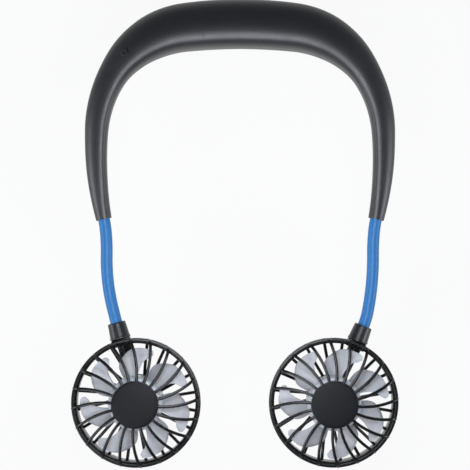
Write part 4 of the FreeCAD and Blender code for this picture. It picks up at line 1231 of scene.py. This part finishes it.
    def build_screws(self) -> None:
        """The screws that hold the shells together, sunk in the rear one."""
        for station, label in zip(self.screw_stations, ("crown", "leg")):
            depth = self.depth(station, self.width(station))
            seat = max(self.middle - depth / 2, 0.0) + self.screw_sink
            screws = ScrewSet(self.screw_head, self.middle + self.screw_grip - seat + self.screw_head)
            foot = seat - self.screw_head - self.middle
            feet = [self.place(side.sign * station, 0.0, foot) for side in Side]
            settle(screws.build(f"{label}_screws", feet), "band", "band_screws")


@dataclass(frozen=True)
class Tube:
    """A tube along a hose: what it stands for, its size, its ends from the hose's mouth and its material.

    A tube without a wall is a full rod.
    """

    label: str
    node: str
    radius: float
    wall: float
    begin: float
    end: float
    finish: Finish
    slot: str


@dataclass
class HoseArm:
    """A blue hose: its course out of the band, and the pieces of sleeve and lead, each cut round one of its
    joints.

    The turns are those of the course's four runs, from the mouth to the collar.
    """

    side: Side
    band: NeckBand
    lower_run: float
    turns: tuple[float, float, float, float]
    mouth_run: float = 7.0
    upper_run: float = 14.0
    collar_run: float = 9.0
    end_run: float = 50.0
    radius: float = 3.5
    wall: float = 0.5
    seat: float = 6.0
    collar_seat: float = 5.0
    buried: float = 14.0
    links: int = 3
    bend_reach: float = 7.2
    end_joint: float = 8.0
    lead_radius: float = 0.6
    lead_tail: float = 15.0
    ring_gap: float = 0.7
    least_rings: int = 8

    def __post_init__(self) -> None:
        """Works out the course from the mouth of the band's leg."""
        self.name = self.side.value
        lengths = (self.mouth_run, self.upper_run, self.lower_run, self.collar_run)
        self.length = sum(lengths)
        mouth = self.band.place(self.side.sign * self.band.half) / MM
        lean = math.radians(self.band.lean)
        way = Vector((-self.side.sign * math.sin(lean), -math.cos(lean), 0.0))
        runs = [(self.buried, 0.0)]
        runs += [(length, -self.side.sign * turn) for length, turn in zip(lengths, self.turns)]
        runs.append((self.end_run, 0.0))
        heading = math.degrees(math.atan2(way.y, way.x))
        self.course = Course(mouth - way * self.buried, heading, runs, zero_at=self.buried)

    def ring(self, distance: float, radius: float, count: int = 32) -> list[Vector]:
        """A circle across the hose.

        Args:
            distance: from the hose's mouth.
            radius: the circle's radius.
            count: the number of points.

        Returns:
            The points, in metres.
        """
        point, heading = self.course.at(distance)
        angle = math.radians(heading)
        across = Vector((-math.sin(angle), math.cos(angle), 0.0))
        points = []
        for index in range(count):
            turn = math.tau * index / count
            lift = Vector((0, 0, radius * math.sin(turn)))
            points.append((point + across * (radius * math.cos(turn)) + lift) * MM)
        return points

    def joints(self) -> list[float]:
        """Where the hose's core bends, as distances from its mouth."""
        step = (self.length - 2 * self.end_joint) / self.links
        return [self.end_joint + step * index for index in range(self.links + 1)]

    def build(self) -> None:
        """Builds the sleeve and the lead inside it."""
        sleeve = Tube(
            label="hose",
            node=f"{self.name}_hose_sleeve",
            radius=self.radius,
            wall=self.wall,
            begin=-self.seat,
            end=self.length + self.collar_seat,
            finish=Finishes.HOSE,
            slot="hose_blue",
        )
        lead = Tube(
            label="lead",
            node=f"{self.name}_arm_lead",
            radius=self.lead_radius,
            wall=0.0,
            begin=-self.buried,
            end=self.length + self.lead_tail,
            finish=Finishes.LEAD,
            slot="lead_black",
        )
        for tube in (sleeve, lead):
            self.build_stretches(tube)

    def build_stretches(self, tube: Tube) -> None:
        """Builds a tube in stretches, which each hold one joint and meet halfway between the joints.

        Args:
            tube: the tube.
        """
        joints = self.joints()
        links = [f"{self.name}_link_{index}" for index in range(1, self.links + 1)]
        bodies = ["band", *links, f"{self.name}_head"]
        cuts = [tube.begin] + [(a + b) / 2 for a, b in zip(joints, joints[1:])] + [tube.end]
        for index, joint in enumerate(joints):
            low, high = cuts[index], cuts[index + 1]
            steps = max(self.least_rings, round((high - low) / self.ring_gap))
            rings = [self.ring(low + (high - low) * step / steps, tube.radius) for step in range(steps + 1)]
            work = Workpiece()
            work.sweep(rings, capped=not tube.wall)
            if tube.wall:
                work.thicken(tube.wall)
            shown = work.piece(f"{self.name}_{tube.label}_stretch_{index + 1}", tube.finish)
            start = self.course.at(joint - self.bend_reach)[0] * MM
            stop = self.course.at(joint + self.bend_reach)[0] * MM
            bodies[index + 1]
            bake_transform(shown)
            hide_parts(tube.node)
            LOG.info("%s bends between %s and %s", shown.name, bodies[index], bodies[index + 1])

    def collar_place(self) -> Matrix:
        """The collar's frame.

        Returns:
            A frame whose Z runs from the hose's end to the head.
        """
        point, heading = self.course.at(self.length)
        angle = math.radians(heading)
        way = Vector((math.cos(angle), math.sin(angle), 0.0))
        return Matrix.Translation(point * MM) @ way.to_track_quat("Z", "Y").to_matrix().to_4x4()

    def head_place(self) -> Matrix:
        """The fan head's frame.

        Returns:
            A frame on the fan's axis, whose Y runs up the head's stem and Z to the front.
        """
        spin = next(joint for joint in frame["joints"] if joint["name"] == f"{self.name}_fan_spin")
        _, heading = self.course.at(self.length)
        return Matrix.Translation(spin["pos_m"]) @ Matrix.Rotation(math.radians(heading + 90), 4, "Z")


@dataclass
class HoseCollar:
    """The tapered collar of a fan head, with a rolled lip, a flange and a hole for the lead.

    The end of the taper and the flange hold radius and height over the mouth.
    """

    bore: float = 3.6
    floor: float = 7.8
    lead_hole: float = 1.2
    mouth: float = 5.2
    lip: float = 0.35
    taper: tuple[float, float] = (5.78, 8.2)
    flange: Outline = ((5.85, 8.4), (6.1, 8.55), (6.1, 9.45))
    length: float = 9.5
    edge: float = 0.15
    edge_angle: float = 40.0

    def build(self, head: "FanHead") -> None:
        """Builds the collar.

        Args:
            head: the fan head.
        """
        outline = [(self.bore, 0.0), (self.mouth - self.lip, 0.0), (self.mouth, self.lip)]
        outline += [self.taper, *self.flange, (self.lead_hole, self.length)]
        outline += [(self.lead_hole, self.floor), (self.bore, self.floor)]
        work = Workpiece()
        work.soften(work.lathe(outline, steps=72), self.edge, angle=self.edge_angle)
        collar = work.piece(f"{head.name}_hose_collar", Finishes.COLLAR, head.arm.collar_place())
        settle(collar, head.body, f"{head.name}_collar")


@dataclass
class RibCage:
    """The bowed ribs of a grille, from its hub over a domed face and a rolled shoulder down to its rim.

    In plan a rib follows a bow about a centre beside the fan's axis. Its root reaches into the hub, and its
    foot is tucked into the rim.
    """

    hub: float
    hub_top: float
    rim: float
    shoulder_top: float
    foot: float
    width: float
    bow: float
    centre: float
    thickness: float = 2.0
    count: int = 20
    dome: float = 95.0
    dome_steps: int = 9
    shoulder_inset: float = 3.0
    roll_ahead: float = 1.0
    roll_extra: float = 0.6
    roll_squash: float = 0.86
    roll_steps: int = 5
    root: float = 0.8
    tuck: float = 0.6

    def dome_height(self, radius: float) -> float:
        """The height of the domed face, on an arc from the hub's top to the shoulder's top.

        Args:
            radius: where.

        Returns:
            The height.
        """
        shoulder = self.rim - self.shoulder_inset
        chord = math.hypot(shoulder - self.hub, self.hub_top - self.shoulder_top)
        reach = math.sqrt(self.dome ** 2 - (chord / 2) ** 2)
        away = Vector((self.hub_top - self.shoulder_top, shoulder - self.hub)) / chord
        centre = Vector(((self.hub + shoulder) / 2, (self.hub_top + self.shoulder_top) / 2)) - away * reach
        return centre.y + math.sqrt(self.dome ** 2 - (radius - centre.x) ** 2)

    def side_view(self) -> list[tuple[float, float]]:
        """The middle line of a rib, seen from its side.

        Returns:
            Radius and height of each point, from inside the hub to inside the rim.
        """
        sink = self.thickness / 2
        line = [(self.hub - self.root, self.hub_top - sink)]
        roll_from = self.rim - self.shoulder_inset - self.roll_ahead
        for index in range(self.dome_steps + 1):
            radius = self.hub + (roll_from - self.hub) * index / self.dome_steps
            line.append((radius, self.dome_height(radius) - sink))
        turn = self.shoulder_inset + self.roll_extra
        for index in range(1, self.roll_steps + 1):
            angle = math.pi / 2 * index / self.roll_steps
            radius = roll_from + turn * math.sin(angle) * self.roll_squash
            line.append((radius, self.shoulder_top - sink - turn * (1 - math.cos(angle))))
        line.append((line[-1][0], self.foot - self.tuck))
        return line

    def build(self, work: Workpiece) -> None:
        """Adds the ribs, which in plan bow round a centre beside the fan's axis.

        Args:
            work: the grille's workpiece.
        """
        points = []
        for radius, height in self.side_view():
            up = (radius ** 2 - self.bow ** 2 + self.centre ** 2) / (2 * self.centre)
            points.append(Vector((math.sqrt(max(radius ** 2 - up ** 2, 0.0)), up, height)))
        rings = []
        profile = rounded_ring(self.width, self.thickness, count=12)
        for index, point in enumerate(points):
            before, after = points[max(index - 1, 0)], points[min(index + 1, len(points) - 1)]
            ahead = (after - before).normalized()
            outwards = Vector((point.x, point.y, 0.0)).normalized()
            aside = Vector((-outwards.y, outwards.x, 0.0))
            aside = (aside - ahead * aside.dot(ahead)).normalized()
            lift = ahead.cross(aside)
            rings.append([(point + aside * u + lift * v) * MM for u, v in profile])
        work.repeat(work.sweep(rings), self.count)


@dataclass
class FrontGrille:
    """The front grille: a rounded rim, bowed ribs that roll over it, and the hub disc."""

    rim_height: float = 4.5
    rim_edge: float = 0.5
    hub: float = 13.6
    peg_bore: float = 2.05
    disc_edge: float = 0.35
    rib_width: float = 1.75
    rib_bow: float = 45.6
    rib_centre: float = 47.8

    def build(self, head: "FanHead") -> None:
        """Builds the grille.

        Args:
            head: the fan head.
        """
        work = Workpiece()
        ring = work.lathe(oblong(head.rim - head.rim_wall, head.rim, 0.0, self.rim_height), steps=144)
        work.soften(ring, self.rim_edge, segments=3)
        ribs = RibCage(
            hub=self.hub,
            hub_top=head.hub_top,
            rim=head.rim,
            shoulder_top=head.front - head.shoulder_drop,
            foot=self.rim_height,
            width=self.rib_width,
            bow=self.rib_bow,
            centre=self.rib_centre,
        )
        ribs.build(work)
        disc = work.lathe(oblong(self.peg_bore, self.hub, head.hub_top - ribs.thickness, head.hub_top))
        work.soften(disc, self.disc_edge)
        cage = work.piece(f"{head.name}_front_cage", Finishes.HEAD, head.place)
        settle(cage, head.body, f"{head.name}_front_grille")


@dataclass
class HubCap:
    """The plain domed cap on the hub, with a peg. Its edge and face hold radius and height over the hub."""

    peg: float = 2.0
    peg_length: float = 1.6
    edge: Outline = ((13.2, 0.0), (13.3, 0.15), (13.25, 0.42))
    face: Outline = ((12.9, 0.6), (11.0, 0.78), (7.5, 1.03), (3.5, 1.16))

    def build(self, head: "FanHead") -> None:
        """Builds the cap.

        Args:
            head: the fan head.
        """
        base = head.hub_top
        outline = [(0.0, base - self.peg_length), (self.peg, base - self.peg_length), (self.peg, base)]
        outline += [(radius, base + height) for radius, height in (*self.edge, *self.face)]
        outline.append((0.0, head.front))
        work = Workpiece()
        work.lathe(outline, closed=False)
        cap = work.piece(f"{head.name}_hub_cover", Finishes.CAP, head.place)
        settle(cap, head.body, f"{head.name}_hub_cap")


@dataclass
class RearGrille:
    """The rear grille: rim with a locating lip, ribs, wire strut, saddle, disc, motor cup and its screws.

    It is modelled face up and turned over. The strut's stations run from the motor cup to the rim.
    """

    rim_step: float = 0.5
    rim_wall: float = 2.6
    rim_height: float = 6.5
    rim_edge: float = 0.45
    lip_gap: float = 0.15
    lip_height: float = 2.5
    hub: float = 15.0
    rib_width: float = 1.9
    rib_bow: float = 597.3
    rib_centre: float = 600.0
    strut_half: float = 3.3
    strut_root: float = 10.9
    strut_end: float = 1.3
    strut_drop: float = 0.5
    strut_depths: tuple[float, float, float] = (3.0, 2.6, 0.6)
    strut_edge: float = 0.5
    saddle_half: float = 5.5
    saddle_from: float = 33.4
    saddle_over: float = 0.6
    saddle_height: float = 8.8
    saddle_edge: float = 0.6
    cup_bore: float = 10.12
    cup_radius: float = 11.62
    cup_height: float = 7.0
    cup_edge: float = 0.35
    screw_spread: float = 6.0
    screw_head: float = 0.9
    screw_length: float = 4.0
    screw_inset: float = 0.1
    sink_radius: float = 2.0
    sink_depth: float = 1.0
    sink_overcut: float = 2.0

    def build(self, head: "FanHead") -> None:
        """Builds the grille, the motor cup in it and the cup's screws.

        Args:
            head: the fan head.
        """
        rim = head.rim - self.rim_step
        ribs = RibCage(
            hub=self.hub,
            hub_top=head.rear,
            rim=rim,
            shoulder_top=head.rear - head.shoulder_drop,
            foot=self.rim_height,
            width=self.rib_width,
            bow=self.rib_bow,
            centre=self.rib_centre,
        )
        over = head.place @ Matrix.Rotation(math.pi, 4, "Y")
        self.build_cage(head, ribs, over)
        self.build_seat(head, head.rear - ribs.thickness, over)
        foot = self.screw_inset - head.rear
        feet = [Vector((side.sign * self.screw_spread, 0.0, foot)) * MM for side in Side]
        screws = ScrewSet(self.screw_head, self.screw_length)
        shown = screws.build(f"{head.name}_seat_screws", feet, head.place)
        settle(shown, head.body, f"{head.name}_motor_screws")

    def build_cage(self, head: "FanHead", ribs: RibCage, over: Matrix) -> None:
        """Builds the rim, ribs, strut and saddle.

        Args:
            head: the fan head.
            ribs: the grille's ribs.
            over: the turned-over frame.
        """
        inner = ribs.rim - self.rim_wall
        lip = head.rim - head.rim_wall - self.lip_gap
        outline = [(inner, -self.lip_height), (lip, -self.lip_height), (lip, 0.0), (ribs.rim, 0.0)]
        outline += [(ribs.rim, self.rim_height), (inner, self.rim_height)]
        work = Workpiece()
        work.soften(work.lathe(outline, steps=144), self.rim_edge)
        ribs.build(work)
        work.soften(work.sweep(self.strut_rings(head, ribs)), self.strut_edge)
        low = (-self.saddle_half, self.saddle_from, 0.0)
        high = (self.saddle_half, head.rim + self.saddle_over, self.saddle_height)
        work.soften(work.block(low, high), self.saddle_edge, segments=3)
        cage = work.piece(f"{head.name}_rear_cage", Finishes.HEAD, over)
        settle(cage, head.body, f"{head.name}_rear_grille")

    def strut_rings(self, head: "FanHead", ribs: RibCage) -> list[list[Vector]]:
        """The wire strut's sections.

        Args:
            head: the fan head.
            ribs: the grille's ribs.

        Returns:
            The corners of each section, in metres.
        """
        stations = [
            (self.strut_root, head.rear - self.strut_drop),
            (ribs.rim - ribs.shoulder_inset, ribs.shoulder_top - self.strut_drop),
            (ribs.rim - self.strut_end, self.rim_height),
        ]
        rings = []
        for (out, top), deep in zip(stations, self.strut_depths):
            corners = oblong(-self.strut_half, self.strut_half, top - deep, top)
            rings.append([Vector((across, out, height)) * MM for across, height in corners])
        return rings

    def build_seat(self, head: "FanHead", floor: float, over: Matrix) -> None:
        """Builds the disc and the motor cup, with sunk holes for the screws.

        Args:
            head: the fan head.
            floor: the height of the disc's inside.
            over: the turned-over frame.
        """
        brim = floor - self.cup_height
        outline = [(0.0, floor), (0.0, head.rear), (self.hub, head.rear), (self.hub, floor)]
        outline += [(self.cup_radius, floor), (self.cup_radius, brim)]
        outline += [(self.cup_bore, brim), (self.cup_bore, floor)]
        work, sinks = Workpiece(), Workpiece()
        work.soften(work.lathe(outline), self.cup_edge)
        seat = work.piece(f"{head.name}_motor_seat", Finishes.HEAD, over)
        rod = oblong(0, self.sink_radius, head.rear - self.sink_depth, head.rear + self.sink_overcut)
        for side in Side:
            sinks.stand(rod, Vector((side.sign * self.screw_spread, 0.0, 0.0)) * MM, steps=36)
        carve(seat, sinks.piece("sink_cutter", Finishes.HEAD, over))
        settle(seat, head.body, f"{head.name}_rear_grille")


@dataclass
class ImpellerBlade:
    """One twisted blade, as a grid from root to tip and from trailing to leading edge.

    The edges' places are angles. The trailing tip has a nub, and the leading tip a fallen corner.
    """

    count: int = 7
    cells: int = 26
    root: float = 14.9
    tip: float = 32.15
    leading_root: float = 29.0
    leading_tip: float = 17.0
    leading_power: int = 4
    trailing_root: float = -1.8
    trailing_tip: float = -16.6
    trailing_power: float = 1.4
    thickness: float = 1.1
    edge: float = 0.35
    edge_angle: float = 60.0
    root_rise: float = 4.3
    tip_rise: float = 3.8
    middle: float = 2.65
    camber: float = 0.8
    corner: float = 5.0
    corner_from: float = 0.3
    corner_power: float = 2.6
    nub: float = 3.2
    nub_from: float = 0.7
    nub_run: float = 0.16
    nub_round: float = 2.6
    nub_share: float = 0.13

    def place(self, across: float, along: float) -> Vector:
        """A point of the blade.

        Args:
            across: from 0 at the trailing edge to 1 at the leading edge.
            along: from 0 at the root to 1 at the tip.

        Returns:
            The point, in metres.
        """
        lead = self.leading_root + (self.leading_tip - self.leading_root) * along ** self.leading_power
        trail = self.trailing_root + (self.trailing_tip - self.trailing_root) * along ** self.trailing_power
        reach = min(max((along - self.nub_from) / self.nub_run, 0.0), 1.0)
        # The nub grows smoothly from nothing to its full size.
        trail -= self.nub * reach ** 2 * (3 - 2 * reach)
        past = max(0.0, (across - self.corner_from) / (1 - self.corner_from))
        fall = past ** self.corner_power * self.corner
        edge = max(0.0, (self.nub_share - across) / self.nub_share)
        fall += self.nub_round * (1 - math.sqrt(1 - edge ** 2))
        radius = self.root + (self.tip - fall - self.root) * along
        angle = math.radians(trail + (lead - trail) * across)
        rise = self.root_rise + (self.tip_rise - self.root_rise) * along
        height = self.middle - (2 * across - 1) * rise + self.camber * (1 - (2 * across - 1) ** 2)
        return Vector((radius * math.cos(angle), radius * math.sin(angle), height)) * MM

    def build(self, name: str, place: Matrix) -> bpy.types.Object:
        """Builds all the blades as one piece.

        Args:
            name: the piece's name.
            place: the impeller's frame.

        Returns:
            The piece.
        """
        work = Workpiece()
        # The grid is 1 by 1 about the origin, so half is added to count from its edges.
        made = bmesh.ops.create_grid(work.bm, x_segments=self.cells, y_segments=self.cells, size=0.5)
        for vert in made["verts"]:
            vert.co = self.place(vert.co.x + 0.5, vert.co.y + 0.5)
        work.thicken(self.thickness)
        work.soften(work.bm.edges[:], self.edge, angle=self.edge_angle)
        work.repeat(work.bm.verts[:] + work.bm.edges[:] + work.bm.faces[:], self.count)
        return work.piece(name, Finishes.BLADE, place)


@dataclass
class Impeller:
    """The impeller: a milky cup hub with a boss on the shaft, and seven twisted blades."""

    phase: float
    bore: float = 1.01
    boss: float = 2.8
    boss_foot: float = 3.2
    inner: float = 14.2
    outer: float = 15.6
    foot: float = -3.5
    roof: float = 8.6
    top: float = 10.0
    shoulder: float = 1.2
    edge: float = 0.2
    edge_angle: float = 50.0

    def build(self, head: "FanHead") -> None:
        """Builds the hub and the blades.

        Args:
            head: the fan head.
        """
        turn = head.place @ Matrix.Rotation(math.radians(-self.phase), 4, "Z")
        nip = self.shoulder / 3
        outline = [(self.bore, self.boss_foot), (self.boss, self.boss_foot), (self.boss, self.roof)]
        outline += [(self.inner, self.roof), (self.inner, self.foot), (self.outer, self.foot)]
        outline += [(self.outer, self.top - self.shoulder), (self.outer - nip, self.top - nip)]
        outline += [(self.outer - self.shoulder, self.top), (self.bore, self.top)]
        work = Workpiece()
        work.soften(work.lathe(outline), self.edge, angle=self.edge_angle)
        hub = work.piece(f"{head.name}_impeller_hub", Finishes.HUB, turn)
        blades = ImpellerBlade().build(f"{head.name}_impeller_blades", turn)
        for shown in (hub, blades):
            settle(shown, f"{head.name}_rotor", f"{head.name}_impeller")


@dataclass
class FanHead:
    """A fan head on a hose, and the sizes that its pieces share."""

    arm: HoseArm
    blade_phase: float
    rim: float = 37.48
    rim_wall: float = 2.2
    front: float = 15.0
    rear: float = 15.0
    cap_height: float = 1.2
    shoulder_drop: float = 5.5

    def __post_init__(self) -> None:
        """Finds the head's name, body and frame, and the height of its hub."""
        self.name = self.arm.name
        self.body = f"{self.name}_head"
        self.place = self.arm.head_place()
        self.hub_top = self.front - self.cap_height

    def build(self) -> None:
        """Builds the head from the collar to the impeller."""
        for part in (HoseCollar(), FrontGrille(), HubCap(), RearGrille(), Impeller(self.blade_phase)):
            part.build(self)


class HiddenParts:
    """The solids that stay as they are, inside the fan."""

    def dress(self) -> None:
        """Gives each solid the finish of its slot."""
        slots = {row["node"]: row["material_slot"] for row in frame["record"]["subparts"]}
        for name, shown in frame["nodes"].items():
            shown.data.materials.clear()
            shown.data.materials.append(Finishes.get(Finishes.SLOTS[slots[name]]))
        LOG.info("dressed %d solids", len(slots))


@dataclass(frozen=True)
class Softbox:
    """A rectangular lamp, with its place and sides in metres and its power in watts."""

    name: str
    place: tuple[float, float, float]
    sides: tuple[float, float]
    power: float

    def build(self, aim: Vector, tint: Colour) -> None:
        """Hangs the lamp up.

        Args:
            aim: the point that it faces, in metres.
            tint: the colour of its light.
        """
        data = bpy.data.lights.new(self.name, "AREA")
        data.shape = "RECTANGLE"
        data.size, data.size_y = self.sides
        data.energy = self.power
        data.color = tint
        lamp = show(self.name, data)
        lamp.location = self.place
        lamp.rotation_euler = (aim - Vector(self.place)).to_track_quat("-Z", "Y").to_euler()


@dataclass
class Studio:
    """The pale floor, the soft lamps, the surrounding light and the camera over the fan.

    The photograph's frame is square, at a scale in millimetres for each pixel on the band's parting plane.
    The floor lies deep enough below the fan for the arms' lowest bend. Its sizes and the aim are in metres.
    """

    pixels: int = 470
    scale: float = 0.583
    centre: tuple[float, float] = (-2.9, -117.1)
    parting: float = 12.0
    distance: float = 800.0
    sensor: float = 36.0
    tint: Colour = (0.9, 0.935, 1.0)
    aim: tuple[float, float, float] = (-0.003, -0.117, 0.0)
    floor_height: float = -0.105
    floor_reach: float = 4.0
    height_stops: Stops = ((0.05, 0.58), (0.6, 0.2))
    back_shade: float = 0.7
    lamps: tuple[Softbox, ...] = (
        Softbox("top_softbox", (0.0, -0.118, 0.34), (0.22, 0.165), 0.88),
        Softbox("low_softbox", (-0.36, -0.5, 0.6), (0.3, 0.3), 1.6),
        Softbox("left_softbox", (-0.82, -0.24, 0.28), (0.4, 0.25), 2.3),
        Softbox("right_softbox", (0.82, -0.24, 0.28), (0.4, 0.25), 2.4),
    )

    def build(self) -> None:
        """Sets up the floor, lamps, surroundings and camera."""
        bpy.context.scene.view_settings.view_transform = "Standard"
        self.build_floor()
        self.build_surroundings()
        for lamp in self.lamps:
            lamp.build(Vector(self.aim), self.tint)
        self.build_camera()

    def build_floor(self) -> None:
        """Lays the wide floor."""
        work = Workpiece()
        bmesh.ops.create_grid(work.bm, x_segments=1, y_segments=1, size=self.floor_reach)
        place = Matrix.Translation((0.0, 0.0, self.floor_height))
        work.piece("studio_floor", Finishes.FLOOR, place)

    def build_surroundings(self) -> None:
        """Soft light from all round, dimmer overhead and behind the crown."""
        world = bpy.data.worlds.new("studio")
        bpy.context.scene.world = world
        world.use_nodes = True
        board = NodeBoard(world.node_tree)
        where = board.add("ShaderNodeTexCoord", output="Generated")
        height = board.add("ShaderNodeSeparateXYZ", {}, {"Vector": where}, output="Z")
        behind = board.add("ShaderNodeSeparateXYZ", {}, {"Vector": where}, output="Y")
        level = board.ramp(height, self.height_stops) * (1 - behind.at_least(0.0) * self.back_shade)
        colour = board.mix(level, BLACK, shade(self.tint, 1.0))
        light = board.add("ShaderNodeBackground", {}, {"Color": colour})
        board.add("ShaderNodeOutputWorld", {}, {"Surface": light})

    def build_camera(self) -> None:
        """Puts the camera straight over the photograph's middle."""
        data = bpy.data.cameras.new("photo_camera")
        data.sensor_width = self.sensor
        data.lens = self.sensor * self.distance / (self.pixels * self.scale)
        camera = show("photo_camera", data)
        camera.location = Vector((*self.centre, self.parting + self.distance)) * MM
        bpy.context.scene.camera = camera


def main() -> None:
    """Dresses the hidden solids, builds the fan's pieces in order and sets up the studio."""
    logging.basicConfig(level=logging.INFO, format="%(message)s")
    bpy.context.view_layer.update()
    HiddenParts().dress()
    band = NeckBand()
    band.build()
    left = HoseArm(Side.LEFT, band, lower_run=30.8, turns=(-7.3, -6.2, 14.9, 0.5))
    right = HoseArm(Side.RIGHT, band, lower_run=32.7, turns=(-6.8, -6.1, 11.3, 11.1))
    for head in (FanHead(left, blade_phase=27.7), FanHead(right, blade_phase=4.4)):
        head.arm.build()
        head.build()
    Studio().build()


if __name__ == "__main__":
    main()
